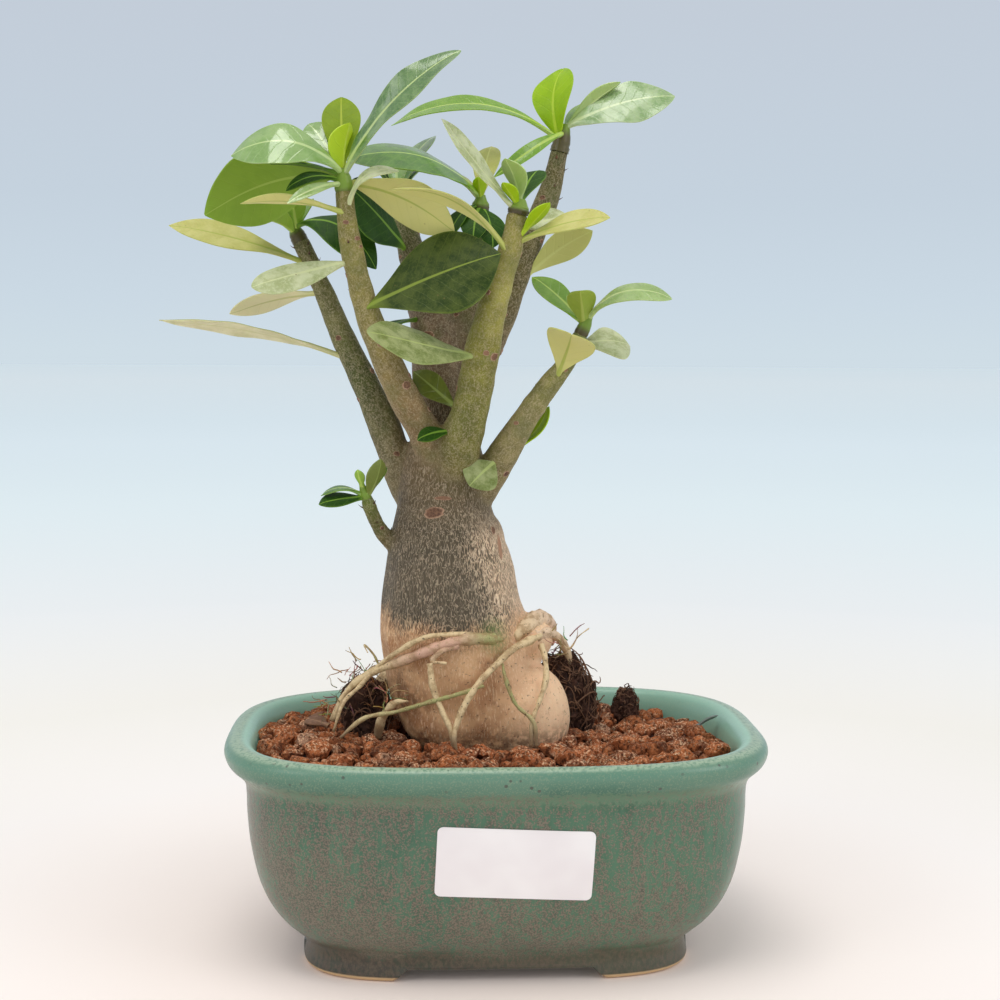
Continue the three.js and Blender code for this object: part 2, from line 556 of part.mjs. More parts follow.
// A point of the leaf: u along it, v across from -1 to 1, side 1 on the upper face and -1 underneath
function leafPoint(leaf, start, u, v, side) {
  const { degToRad, smoothstep, lerp } = THREE.MathUtils;
  const heading = degToRad(leaf.heading);
  const rise = degToRad(leaf.rise);
  const forward = unitVector(heading, rise);
  const upright = unitVector(heading, rise + Math.PI / 2);
  const right = new THREE.Vector3().crossVectors(forward, upright);
  const roll = degToRad(leaf.roll);
  const face = upright.clone().multiplyScalar(Math.cos(roll)).addScaledVector(right, Math.sin(roll));
  const across = new THREE.Vector3().crossVectors(face, forward);
  const normal = face.clone().addScaledVector(forward, -4 * leaf.bow * (1 - 2 * u)).normalize();
  const blade = smoothstep(u, 0.06, 0.3);
  const halfWidth = Math.max(
    (leaf.width / 2) * leafOutline(u, leaf.tip ?? LEAF_TIP),
    u < 0.5 ? STALK_WIDTH / 2 : LEAF_TIP_WIDTH / 2,
  );
  const thickness = lerp(STALK_THICKNESS, LEAF_THICKNESS, blade);
  const wave = (leaf.wave ?? 0) * leaf.width * Math.sin(4 * Math.PI * u) * v * Math.abs(v);
  const lift = leaf.fold * Math.abs(v) * halfWidth * blade + wave * blade + (side * thickness) / 2;
  return start.clone()
    .addScaledVector(forward, leaf.length * u)
    .addScaledVector(face, 4 * leaf.bow * leaf.length * u * (1 - u))
    .addScaledVector(across, v * halfWidth)
    .addScaledVector(normal, lift);
}

// A thin closed blade: two grids split into triangles alike, joined round the edge
function leafSolid(leaf, start) {
  const across = leaf.width > WIDE_LEAF ? 4 : 2;
  const steps = leaf.length < SHORT_LEAF ? SHORT_LEAF_STEPS : LEAF_STEPS;
  const row = across + 1;
  const positions = [];
  for (const side of [1, -1]) {
    for (let i = 0; i <= steps; i += 1) {
      for (let j = 0; j <= across; j += 1) {
        const v = (2 * j) / across - 1;
        positions.push(...leafPoint(leaf, start, i / steps, v, side).toArray());
      }
    }
  }
  const under = row * (steps + 1);
  const faces = [];
  for (let i = 0; i < steps; i += 1) {
    for (let j = 0; j < across; j += 1) {
      const [a, b] = [i * row + j, (i + 1) * row + j];
      faces.push(a, b, b + 1, a, b + 1, a + 1);
      faces.push(under + b + 1, under + b, under + a, under + a + 1, under + b + 1, under + a);
    }
  }
  const rim = [];
  for (let i = 0; i < steps; i += 1) rim.push(i * row);
  for (let j = 0; j < across; j += 1) rim.push(steps * row + j);
  for (let i = steps; i > 0; i -= 1) rim.push(i * row + across);
  for (let j = across; j > 0; j -= 1) rim.push(j);
  rim.forEach((a, i) => {
    const b = rim[(i + 1) % rim.length];
    faces.push(a, under + a, b, b, under + a, under + b);
  });
  const geometry = new THREE.BufferGeometry();
  geometry.setAttribute("position", new THREE.Float32BufferAttribute(positions, 3));
  geometry.setIndex(faces);
  return solid(geometry);
}

// The green end of a branch, a little above the bark
function shootOf(branch) {
  const curve = curveThrough(branch.points);
  const end = curve.getPoint(1);
  const direction = curve.getTangent(1);
  return { end, direction, radius: branch.radii.at(-1) };
}

function makeCrown(branch, leaves, plantClear) {
  const { end, direction, radius } = shootOf(branch);
  const at = (up) => end.clone().addScaledVector(direction, up);
  const highest = Math.max(...leaves.map((leaf) => leaf.up));
  const shoot = stem({
    points: [at(-0.5).toArray(), at(highest / 2).toArray(), at(highest + 1).toArray()],
    radii: [radius, radius * 0.9, radius * 0.6],
  }, BRANCH_SIDES, 3);
  const blades = leaves.map((leaf) => leafSolid(leaf, at(leaf.up)));
  return unite([solid(shoot), ...blades]).subtract(plantClear);
}

function makeSingleLeaf(leaf, plantClear) {
  const branch = BRANCHES[leaf.branch];
  const outwards = unitVector(THREE.MathUtils.degToRad(leaf.side ?? leaf.heading), 0);
  const start = curveThrough(branch.points).getPoint(leaf.along);
  start.addScaledVector(outwards, 0.7 * valueAlong(branch.radii, leaf.along));
  return leafSolid(leaf, start).subtract(plantClear);
}

// Soil

function clump({ at, size, seed }, swell = 0) {
  const [x, y, z] = size.map((half) => half + swell);
  const lumpy = reshape(new THREE.IcosahedronGeometry(1, 2), (p) => {
    const bumps = Math.sin(7 * p.x + seed) * Math.sin(6 * p.y + 2 * seed) * Math.sin(5 * p.z + seed);
    p.multiplyScalar(1 + 0.16 * bumps);
  });
  return solid(lumpy.scale(x, y, z).translate(...at));
}

function flakeSolid(flake, swell = 0) {
  const leaf = { ...flake, bow: 0.05, fold: 0.1, width: flake.width + 2 * swell };
  const start = new THREE.Vector3(...flake.at);
  if (swell === 0) return leafSolid(leaf, start);
  const below = start.clone().setZ(start.z - swell);
  const above = start.clone().setZ(start.z + swell);
  return leafSolid(leaf, below).add(leafSolid(leaf, above)).add(leafSolid(leaf, start));
}

// Top of the soil: rings from the wall inwards, mounded a little towards the stem
function soilRings() {
  const wall = POT_INSIDE[1][0] - 2 * GAP - 1;
  return Array.from({ length: GRANULE_RINGS }, (_, ring) => {
    const inwards = ring / (GRANULE_RINGS - 1);
    const half = THREE.MathUtils.lerp(wall, RELIEF_INSIDE, inwards);
    return [half, THREE.MathUtils.lerp(SOIL_EDGE, SOIL_MIDDLE, Math.sqrt(inwards))];
  });
}

// The granules fill the pot. Each one on top is a faceted mound over two rings and two sides of the
// lathe, with a seeded shift of every corner.
function makeSoil(clearances) {
  const random = randomFrom(SOIL_SEED);
  const walls = POT_INSIDE.slice(2).reverse().map(([half, height]) => [half - 2 * GAP, height + GAP]);
  const top = soilRings();
  const profile = [[0, FLOOR_TOP + GAP], ...walls, ...top, [0, SOIL_MIDDLE]];
  const points = profile.map(([radius, height]) => new THREE.Vector2(radius, height));
  const lathe = new THREE.LatheGeometry(points, GRANULE_SIDES).rotateX(Math.PI / 2);
  const { position } = lathe.attributes;
  const firstRing = 1 + walls.length;
  for (let side = 0; side < GRANULE_SIDES; side += 1) {
    for (let ring = 1; ring < top.length - 1; ring += 1) {
      const index = side * points.length + firstRing + ring;
      const isMound = ring % 2 === 1 && side % 2 === 1;
      const mound = isMound ? GRANULE_HEIGHT : GRANULE_UNEVENNESS * (random() - 0.5);
      const turn = (GRANULE_TURN * (random() - 0.5) * 2 * Math.PI) / GRANULE_SIDES;
      const spread = 1 + GRANULE_SPREAD * (random() - 0.5);
      const radius = Math.hypot(position.getX(index), position.getY(index)) * spread;
      const angle = Math.atan2(position.getY(index), position.getX(index)) + turn;
      const height = position.getZ(index) + mound * (0.6 + 0.6 * random());
      position.setXYZ(index, radius * Math.cos(angle), radius * Math.sin(angle), height);
      if (side === 0) {
        const seam = GRANULE_SIDES * points.length + firstRing + ring;
        position.setXYZ(seam, radius * Math.cos(angle), radius * Math.sin(angle), height);
      }
    }
  }
  const pocketRadius = SCREEN_RADIUS + 2 * GAP;
  const pocket = new THREE.CylinderGeometry(pocketRadius, pocketRadius, POCKET_DEPTH, SCREEN_SIDES);
  const pocketMiddle = FLOOR_TOP + GAP + SCREEN_THICKNESS + GAP - POCKET_DEPTH / 2;
  const screenSeat = solid(pocket.rotateX(Math.PI / 2).translate(0, 0, pocketMiddle));
  const filled = solid(reshape(lathe, troughPlan)).subtract(screenSeat);
  return clearances.reduce((soil, clear) => soil.subtract(clear), filled);
}

// Assembly

const whole = new THREE.Group();
const plantClear = makePlant(GAP);
whole.add(meshOf("pot", makePot(), GLAZE));
whole.add(meshOf("label", makeLabel(), PAPER));
whole.add(meshOf("drain_screen", makeScreen(), PLASTIC));
whole.add(meshOf("plant", makePlant(), BARK));

const clearances = [plantClear];
Object.entries(PEAT).forEach(([name, peat]) => {
  whole.add(meshOf(name, clump(peat).subtract(plantClear), PEAT_FIBRE));
  clearances.push(clump(peat, GAP));
});
FLAKES.forEach((flake, i) => {
  whole.add(meshOf(`dry_flake_${i + 1}`, flakeSolid(flake), DRY_LEAF));
  clearances.push(flakeSolid(flake, GAP));
});
whole.add(meshOf("soil", makeSoil(clearances), GRANULES));

Object.entries(CROWNS).forEach(([name, leaves]) => {
  whole.add(meshOf(`crown_${name}`, makeCrown(BRANCHES[name], leaves, plantClear), LEAF_MATERIALS.glossy));
});
Object.entries(SINGLE_LEAVES).forEach(([name, leaf]) => {
  whole.add(meshOf(name, makeSingleLeaf(leaf, plantClear), LEAF_MATERIALS[leaf.tone]));
});

const box = new THREE.Box3().setFromObject(whole);
const middle = box.getCenter(new THREE.Vector3());
whole.position.set(-middle.x, -middle.y, -box.min.z);

export default whole;
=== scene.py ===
import math
import random

import bpy
from mathutils import Euler, Matrix, Vector, kdtree, noise


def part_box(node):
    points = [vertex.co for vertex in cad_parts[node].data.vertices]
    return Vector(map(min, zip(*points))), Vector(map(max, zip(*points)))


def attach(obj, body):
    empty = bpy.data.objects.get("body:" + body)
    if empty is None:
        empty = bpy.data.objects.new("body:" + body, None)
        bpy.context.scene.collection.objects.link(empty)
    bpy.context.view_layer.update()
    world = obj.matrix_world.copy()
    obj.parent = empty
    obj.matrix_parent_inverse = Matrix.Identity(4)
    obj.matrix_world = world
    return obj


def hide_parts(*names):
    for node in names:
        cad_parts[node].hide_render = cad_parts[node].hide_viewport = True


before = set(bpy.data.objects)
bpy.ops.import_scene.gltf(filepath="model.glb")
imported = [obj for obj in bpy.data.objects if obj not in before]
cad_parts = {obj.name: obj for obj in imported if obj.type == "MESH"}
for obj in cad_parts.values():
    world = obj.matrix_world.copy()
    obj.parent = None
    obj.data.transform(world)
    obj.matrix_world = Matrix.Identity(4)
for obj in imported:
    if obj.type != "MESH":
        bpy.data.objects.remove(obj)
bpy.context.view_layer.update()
print("frame loaded")

mm = 0.001
potLow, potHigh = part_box("pot")
middleX = (potLow.x + potHigh.x) / 2
middleY = (potLow.y + potHigh.y) / 2


# a place given in millimetres from the middle of the pot's footprint
def at(x, y, z):
    return Vector((middleX + x * mm, middleY + y * mm, z * mm))


def mix(low, high, share):
    return low + (high - low) * share


def ease(share):
    share = min(max(share, 0), 1)
    return share * share * (3 - 2 * share)


# a colour as a paint chart gives it, 0 to 255, turned into the linear values that shaders use
def paint(red, green, blue):
    shares = [value / 255 for value in (red, green, blue)]
    return (*[share / 12.92 if share < 0.04 else ((share + 0.055) / 1.055) ** 2.4 for share in shares], 1)


def deselect():
    bpy.ops.object.select_all(action="DESELECT")


def pick(*pieces):
    deselect()
    for piece in pieces:
        piece.select_set(True)
    bpy.context.view_layer.objects.active = pieces[0]


def edit(piece):
    pick(piece)
    bpy.ops.object.mode_set(mode="EDIT")
    bpy.ops.mesh.select_all(action="SELECT")


def leaveEdit():
    bpy.ops.object.mode_set(mode="OBJECT")


# points that lie together become one, every face looks outwards
def closeUp(weld=None):
    bpy.ops.mesh.select_all(action="SELECT")
    if weld is not None:
        bpy.ops.mesh.remove_doubles(threshold=weld * mm)
    bpy.ops.mesh.normals_make_consistent(inside=False)
    leaveEdit()


def finishWith(piece, kind, **settings):
    pick(piece)
    modifier = piece.modifiers.new(kind.title(), kind)
    for name, value in settings.items():
        setattr(modifier, name, value)
    bpy.ops.object.modifier_apply(modifier=modifier.name)


def joined(pieces, name):
    pick(*pieces)
    bpy.ops.object.join()
    piece = bpy.context.object
    piece.name = piece.data.name = name
    return piece


def shadeSmooth(piece, degrees=None):
    pick(piece)
    if degrees is None:
        bpy.ops.object.shade_smooth()
    else:
        bpy.ops.object.shade_smooth_by_angle(angle=math.radians(degrees))


def copyOf(master):
    piece = master.copy()
    piece.data = master.data.copy()
    bpy.context.collection.objects.link(piece)
    return piece


# the place goes into the mesh, then the piece gets its name, finish and body
def hand(piece, name, finish, slot, *nodes):
    pick(piece)
    bpy.ops.object.transform_apply(location=True, rotation=True, scale=True)
    piece.name = piece.data.name = name
    if finish is not None:
        piece.data.materials.clear()
        piece.data.materials.append(finish)
    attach(piece, "root")
    if nodes:
        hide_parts(*nodes)
    return piece


# shader helpers

inMillimetres = (1000, 1000, 1000)


def ramp(nodes, stops):
    made = nodes.new("ShaderNodeValToRGB")
    while len(made.color_ramp.elements) < len(stops):
        made.color_ramp.elements.new(0.5)
    for element, (place, colour) in zip(made.color_ramp.elements, stops):
        element.position = place
        element.color = colour
    return made


class Finish:
    def __init__(self, name):
        self.material = bpy.data.materials.new(name)
        self.material.use_nodes = True
        self.nodes = self.material.node_tree.nodes
        self.links = self.material.node_tree.links
        self.shader = self.nodes["Principled BSDF"]

    def set(self, **values):
        for name, value in values.items():
            self.shader.inputs[name.replace("_", " ")].default_value = value

    def feed(self, socket, output):
        self.links.new(output, self.shader.inputs[socket])

    def node(self, kind, inputs=None, **settings):
        made = self.nodes.new(kind)
        for name, value in settings.items():
            setattr(made, name, value)
        for name, value in (inputs or {}).items():
            socket = made.inputs[name]
            if isinstance(value, bpy.types.NodeSocket):
                self.links.new(value, socket)
            else:
                socket.default_value = value
        return made

    # the piece's own coordinates, stretched
    def place(self, scale=(1, 1, 1), offset=(0, 0, 0)):
        coords = self.node("ShaderNodeTexCoord")
        moved = {"Vector": coords.outputs["Object"], "Scale": scale, "Location": offset}
        return self.node("ShaderNodeMapping", moved).outputs[0]

    def stretch(self, vector, scale, turn=(0, 0, 0)):
        return self.node("ShaderNodeMapping", {"Vector": vector, "Scale": scale, "Rotation": turn}).outputs[0]

    # values that were written into the mesh, point by point
    def tag(self, name, kind="Vector"):
        return self.node("ShaderNodeAttribute", attribute_name=name).outputs[kind]

    def facing(self):
        return self.node("ShaderNodeNewGeometry").outputs["Normal"]

    def cloud(self, vector, scale, detail=3.0, roughness=0.5, distortion=0.0):
        made = self.node("ShaderNodeTexNoise", {
            "Vector": vector, "Scale": scale, "Detail": detail,
            "Roughness": roughness, "Distortion": distortion,
        })
        return made.outputs["Fac"]

    def cells(self, vector, scale, feature="F1"):
        made = self.node("ShaderNodeTexVoronoi", {"Vector": vector, "Scale": scale}, feature=feature)
        return made.outputs["Distance"]

    # thin winding lines, 0 in their middle
    def creases(self, vector, detail):
        return self.maths("ABSOLUTE", self.minus(self.cloud(vector, 1.0, detail, 0.5, 0.3), 0.5))

    # how far a value is from another one
    def apart(self, value, other):
        return self.maths("ABSOLUTE", self.minus(value, other))

    # a value brought from one range into another
    def span(self, value, low, high, start=0.0, end=1.0, smooth=True):
        made = self.node("ShaderNodeMapRange", {
            "Value": value, "From Min": low, "From Max": high, "To Min": start, "To Max": end,
        }, interpolation_type="SMOOTHSTEP" if smooth else "LINEAR")
        return made.outputs[0]

    def maths(self, kind, first, second=0.0):
        return self.node("ShaderNodeMath", {0: first, 1: second}, operation=kind).outputs[0]

    def plus(self, whole, *more):
        for value in more:
            whole = self.maths("ADD", whole, value)
        return whole

    def minus(self, first, second):
        return self.maths("SUBTRACT", first, second)

    def times(self, whole, *more):
        for value in more:
            whole = self.maths("MULTIPLY", whole, value)
        return whole

    def blend(self, share, first, second, kind="MIX"):
        made = self.node("ShaderNodeMix", data_type="RGBA", blend_type=kind)
        for index, value in ((0, share), (6, first), (7, second)):
            if isinstance(value, bpy.types.NodeSocket):
                self.links.new(value, made.inputs[index])
            else:
                made.inputs[index].default_value = value
        return made.outputs[2]

    def shade(self, colour, tint):
        return self.blend(1.0, colour, tint, "MULTIPLY")

    def ramp(self, share, stops):
        made = ramp(self.nodes, stops)
        self.links.new(share, made.inputs["Fac"])
        return made.outputs["Color"]

    def bump(self, height, strength, depth, normal=None):
        made = self.node("ShaderNodeBump", {"Height": height, "Strength": strength, "Distance": depth})
        if normal is not None:
            self.links.new(normal, made.inputs["Normal"])
        return made.outputs[0]

    def split(self, vector):
        return self.node("ShaderNodeSeparateXYZ", {0: vector}).outputs


# a plain rough finish, mottled between two colours
def grainFinish(name, grain, spread, low, high, bump, rough):
    made = Finish(name)
    cloud = made.cloud(made.place(), *grain)
    made.feed("Base Color", made.blend(made.span(cloud, *spread), paint(*low), paint(*high)))
    made.feed("Normal", made.bump(cloud, *bump))
    made.set(Roughness=rough)
    return made.material


# camera, floor and light

view = {
    "place": (-22.8, -449.6, 166.0),
    "turn": 3.05,
    "down": 5.21,
    "roll": 0.26,
    "lens": 58.2,
}


def makeCamera():
    bpy.ops.object.camera_add()
    camera = bpy.context.object
    camera.name = "viewCamera"
    camera.data.lens = view["lens"]
    camera.data.sensor_width = 36
    camera.data.clip_start = 0.01
    camera.data.clip_end = 20
    turned = Matrix.Rotation(-math.radians(view["turn"]), 4, "Z")
    tipped = Matrix.Rotation(math.radians(90 - view["down"]), 4, "X")
    rolled = Matrix.Rotation(math.radians(view["roll"]), 4, "Z")
    camera.matrix_world = Matrix.Translation(at(*view["place"])) @ turned @ tipped @ rolled
    bpy.context.scene.camera = camera


studio = {
    "floorSize": 60.0,
    "floorHeight": -0.0002,
    "floor": [(0.05, paint(249, 235, 227)), (0.16, paint(243, 238, 234)), (0.25, paint(240, 237, 230)),
              (0.38, paint(246, 243, 241)), (0.54, paint(238, 241, 242)), (0.78, paint(224, 233, 238))],
    "glow": [(0.26, (0.035, 0.030, 0.026, 1)), (0.39, (0.005, 0.045, 0.060, 1)),
             (0.58, (0.120, 0.180, 0.192, 1)), (0.72, (0.176, 0.226, 0.244, 1)),
             (0.90, (0.182, 0.210, 0.214, 1)), (1.0, (0.128, 0.178, 0.200, 1))],
    "sky": [(0.5, paint(207, 221, 230)), (0.516, paint(203, 217, 228)), (0.546, paint(197, 210, 222)),
            (0.60, paint(195, 205, 217)), (0.72, paint(205, 209, 215)), (1.0, paint(215, 215, 215))],
    "skyStrength": 1.0,
    "lamps": [
        # name, place, size, power, colour
        ("topLamp", (-0.15, -0.30, 1.30), 0.7, 6.4, (1.0, 0.98, 0.95)),
        ("leftLamp", (-1.10, -0.70, 0.80), 0.7, 3.2, (1.0, 0.99, 0.97)),
        ("rightLamp", (1.10, -0.60, 0.70), 0.7, 3.6, (1.0, 1.0, 1.0)),
    ],
    "aim": (0.0, 0.0, 0.12),
}


# paper whose colour and painted glow change with its distance from the pot: painted light that lifts the
# shade near the pot and brightens the floor far off
def floorFinish():
    made = Finish("studioFloor")
    distance = made.node("ShaderNodeVectorMath", {0: made.place()}, operation="LENGTH").outputs["Value"]
    share = made.maths("DIVIDE", distance, made.plus(distance, 1.0))
    made.feed("Base Color", made.ramp(share, studio["floor"]))
    # painted light: a glow on the paper, stronger far from the pot
    made.feed("Emission Color", made.ramp(share, studio["glow"]))
    made.set(Emission_Strength=1, Roughness=0.8, Specular_IOR_Level=0.1)
    return made.material


def makeStudio():
    bpy.ops.mesh.primitive_plane_add(size=studio["floorSize"], location=(0, 0, studio["floorHeight"]))
    floor = bpy.context.object
    floor.name = "studioFloor"
    floor.data.materials.append(floorFinish())

    world = bpy.data.worlds.new("studioSky")
    bpy.context.scene.world = world
    world.use_nodes = True
    nodes, links = world.node_tree.nodes, world.node_tree.links
    background = nodes["Background"]
    background.inputs["Strength"].default_value = studio["skyStrength"]
    coords = nodes.new("ShaderNodeTexCoord")
    split = nodes.new("ShaderNodeSeparateXYZ")
    height = nodes.new("ShaderNodeMapRange")
    height.inputs["From Min"].default_value = -1
    sky = ramp(nodes, studio["sky"])
    links.new(coords.outputs["Generated"], split.inputs[0])
    links.new(split.outputs["Z"], height.inputs["Value"])
    links.new(height.outputs[0], sky.inputs["Fac"])
    links.new(sky.outputs["Color"], background.inputs["Color"])

    for name, place, size, power, colour in studio["lamps"]:
        bpy.ops.object.light_add(type="AREA", location=place)
        lamp = bpy.context.object
        lamp.name = name
        lamp.data.size = size
        lamp.data.energy = power
        lamp.data.color = colour
        aim = Vector(studio["aim"]) - Vector(place)
        lamp.rotation_euler = aim.to_track_quat("-Z", "Y").to_euler()
    bpy.context.scene.view_settings.view_transform = "Standard"


makeCamera()
makeStudio()
print("camera and studio ready")


# pot

pot = {
    "topHeight": 61.6,
    "steps": 200,
    "weld": 0.02,
    "sway": 0.12,
    "swayPitch": 0.035,
    "rimDepth": 0.704,
    "footDepth": 0.655,
    "rimSquareness": 3.24,
    "footSquareness": 4.0,
    "drain": [(7, 9.5), (7, 3.5)],
    "foot": [(43.5, 3.5), (45.2, 2.4), (45.6, 0.5), (46.2, 0)],
    "outside": [(52.6, 0), (53.4, 0.7), (53.2, 2.4), (52.8, 5), (53.6, 7.3), (56, 9.6), (60, 13.5),
                (64.4, 20.5), (67.4, 31), (68.7, 42), (68.9, 47.8), (69.2, 50), (70.1, 52), (71.8, 53.8),
                (73.5, 55.4), (74.5, 57.3), (74.7, 59), (73.9, 60.5), (72.3, 61.4), (70.2, 61.6)],
    "inside": [(68.3, 60.9), (67.1, 59.3), (66.1, 56), (65.2, 50), (64.2, 42), (62.2, 30), (57, 16),
               (48, 9.6)],
    "archFront": 25,
    "archSide": 11,
    "archHeight": 3.2,
    "archSlope": 3.0,
    "archRound": 0.15,
    "roundInside": (12, 38),
}


# how far the rounded rectangle stands out of a circle, in that direction and at that height
def plan(angle, height):
    share = min(max(height / pot["topHeight"], 0), 1)
    power = mix(pot["footSquareness"], pot["rimSquareness"], share)
    across = abs(math.cos(angle)) ** power + abs(math.sin(angle)) ** power
    return across ** (-1 / power), mix(pot["footDepth"], pot["rimDepth"], share)


def toPlan(radius, angle, height):
    stretch, depth = plan(angle, height)
    return radius * math.cos(angle) * stretch, radius * math.sin(angle) * stretch * depth


def archLift(x, y):
    front = 1 - ease((abs(x) - pot["archFront"]) / pot["archSlope"])
    side = 1 - ease((abs(y) - pot["archSide"]) / pot["archSlope"])
    return pot["archHeight"] * max(front, side)


def makePot():
    # the profile is drawn as a wire, then spun once round
    bpy.ops.curve.primitive_bezier_curve_add(location=(0, 0, 0))
    wire = bpy.context.object
    spline = wire.data.splines[0]
    points = pot["drain"] + pot["foot"] + pot["outside"] + pot["inside"]
    spline.bezier_points.add(len(points) - 2)
    for knot, (radius, height) in zip(spline.bezier_points, points):
        knot.co = (radius * mm, 0, height * mm)
        knot.handle_left_type = knot.handle_right_type = "AUTO"
    for index in (0, 1, 2, len(points) - 1):
        spline.bezier_points[index].handle_left_type = "VECTOR"
        spline.bezier_points[index].handle_right_type = "VECTOR"
    spline.use_cyclic_u = True
    wire.data.resolution_u = 4
    pick(wire)
    bpy.ops.object.convert(target="MESH")
    edit(wire)
    bpy.ops.mesh.remove_doubles(threshold=pot["weld"] * mm)
    bpy.ops.mesh.spin(steps=pot["steps"], angle=2 * math.pi, center=(0, 0, 0), axis=(0, 0, 1))
    closeUp(pot["weld"])
    roundStart, roundEnd = pot["roundInside"]
    for vertex in wire.data.vertices:
        x, y, z = (c / mm for c in vertex.co)
        radius, angle = math.hypot(x, y), math.atan2(y, x)
        squareX, squareY = toPlan(radius, angle, z)
        share = ease((radius - roundStart) / (roundEnd - roundStart))
        x, y = mix(x, squareX, share), mix(y, squareY, share)
        # the arches between the feet, and the slight unevenness of a cast pot
        if z < pot["archHeight"] and radius > pot["roundInside"][1]:
            z = max(z, archLift(x, y) + pot["archRound"] * z)
        sway = pot["sway"] * noise.noise(Vector((x, y, z)) * pot["swayPitch"])
        outwards = Vector((math.cos(angle), math.sin(angle), 0)) * sway * share
        vertex.co = at(x + outwards.x, y + outwards.y, max(z, 0))
    shadeSmooth(wire, 50)
    return wire


def glazeFinish():
    made = Finish("glaze")
    here = made.place()
    x, y, z = made.split(here)
    fine = made.cloud(here, 2300, 2, 0.6)
    grain = made.cloud(made.place((1000, 1000, 620)), 1.0, 3, 0.6)
    patch = made.cloud(here, 28, 4, 0.55, 0.6)
    streak = made.cloud(made.place((330, 330, 60)), 1.0, 4, 0.6, 0.4)

    # taupe specks lie where the glaze is thin: in upright streaks, low down, and more to the left
    cover = made.plus(made.span(x, middleX - 0.060, middleX + 0.050, 0.58, 0.24),
                      made.span(z, 0.040, 0.010, 0.0, 0.14),
                      made.span(patch, 0.3, 0.7, -0.24, 0.24),
                      made.span(streak, 0.3, 0.7, -0.18, 0.18))
    thin = made.plus(made.times(made.plus(fine, grain), 0.5), made.times(cover, 0.24))
    specks = made.span(thin, 0.55, 0.67)
    green = made.blend(made.span(patch, 0.35, 0.68), paint(46, 88, 65), paint(67, 110, 82))
    green = made.blend(made.span(streak, 0.35, 0.65, 0.35, 0.0), green, paint(84, 126, 98))
    taupe = made.blend(made.span(fine, 0.38, 0.62), paint(80, 68, 60), paint(130, 110, 96))
    body = made.blend(made.times(specks, 0.78), green, taupe)

    # under the lip runs a paler green ring, where the glaze has gathered
    ring = made.plus(z, made.span(grain, 0.3, 0.7, -0.0010, 0.0010))
    gathered = made.blend(made.times(specks, 0.5), paint(90, 124, 96), taupe)
    body = made.blend(made.span(ring, 0.0500, 0.0520, 0.0, 0.85), body, gathered)
    # the lip roll: painted shade and light, darker toward its underside and lighter toward its top
    lip = made.blend(made.span(z, 0.0545, 0.0595), paint(50, 102, 82), paint(90, 130, 108))
    lip = made.blend(made.span(patch, 0.40, 0.68, 0.0, 0.6), lip, paint(96, 132, 110))
    lip = made.blend(made.span(fine, 0.50, 0.66, 0.0, 0.45), lip, paint(134, 150, 122))
    dots = made.span(made.cells(here, 330), 0.20, 0.11)
    rare = made.span(made.cloud(here, 90, 2), 0.42, 0.54)
    lip = made.blend(made.times(dots, rare, 0.8), lip, paint(70, 62, 56))
    # a pale crest along the top edge: partly the glaze's own pale edge, partly a painted highlight
    paleCrestAndHighlight = made.times(made.span(z, 0.0604, 0.0614), made.span(grain, 0.36, 0.56, 0.1, 0.8))
    lip = made.blend(paleCrestAndHighlight, lip, paint(162, 182, 154))
    colour = made.blend(made.span(ring, 0.0538, 0.0552), body, lip)

    # the wall inside is painted paler: a painted reflection that lifts its shade
    normal = made.split(made.facing())
    outwards = made.plus(made.times(x, normal[0]), made.times(y, normal[1]))
    paintedLightInside = made.blend(made.span(fine, 0.45, 0.65, 0.0, 0.3), paint(148, 194, 172), paint(168, 194, 172))
    colour = made.blend(made.span(outwards, 0.0, -0.02, 0.0, 0.85), colour, paintedLightInside)

    # a dark band low down, darker on the left, then the bare edge of the foot
    band = made.plus(z, made.span(patch, 0.3, 0.7, -0.0022, 0.0022))
    dark = made.blend(made.span(x, middleX - 0.045, middleX + 0.035), paint(48, 38, 30), paint(74, 66, 50))
    dark = made.blend(made.span(grain, 0.35, 0.65, 0.0, 0.4), dark, paint(112, 98, 76))
    colour = made.blend(made.span(band, 0.0105, 0.0060, 0.0, 0.82), colour, dark)
    colour = made.blend(made.span(z, 0.0013, 0.0008), colour, paint(206, 172, 128))
    made.feed("Base Color", colour)
    made.feed("Roughness", made.span(specks, 0.0, 1.0, 0.30, 0.42))
    made.set(IOR=1.5, Coat_Weight=0.2, Coat_Roughness=0.25)
    wave = made.bump(patch, 0.5, 0.0005)
    made.feed("Normal", made.bump(grain, 0.35, 0.00010, wave))
    return made.material


glaze = glazeFinish()
potBody = hand(makePot(), "pot_body", glaze, "glaze", "pot")
print("pot thrown and glazed")


# sticker, bent onto the front of the pot

sticker = {
    "middle": (3.0, 35.5),
    "length": 40.6,
    "height": 18.9,
    "tilt": -2.6,
    "corner": 1.5,
    "thickness": 0.22,
    "clear": 0.12,
    "strip": 2.0,
    "strips": (11, 6),
}


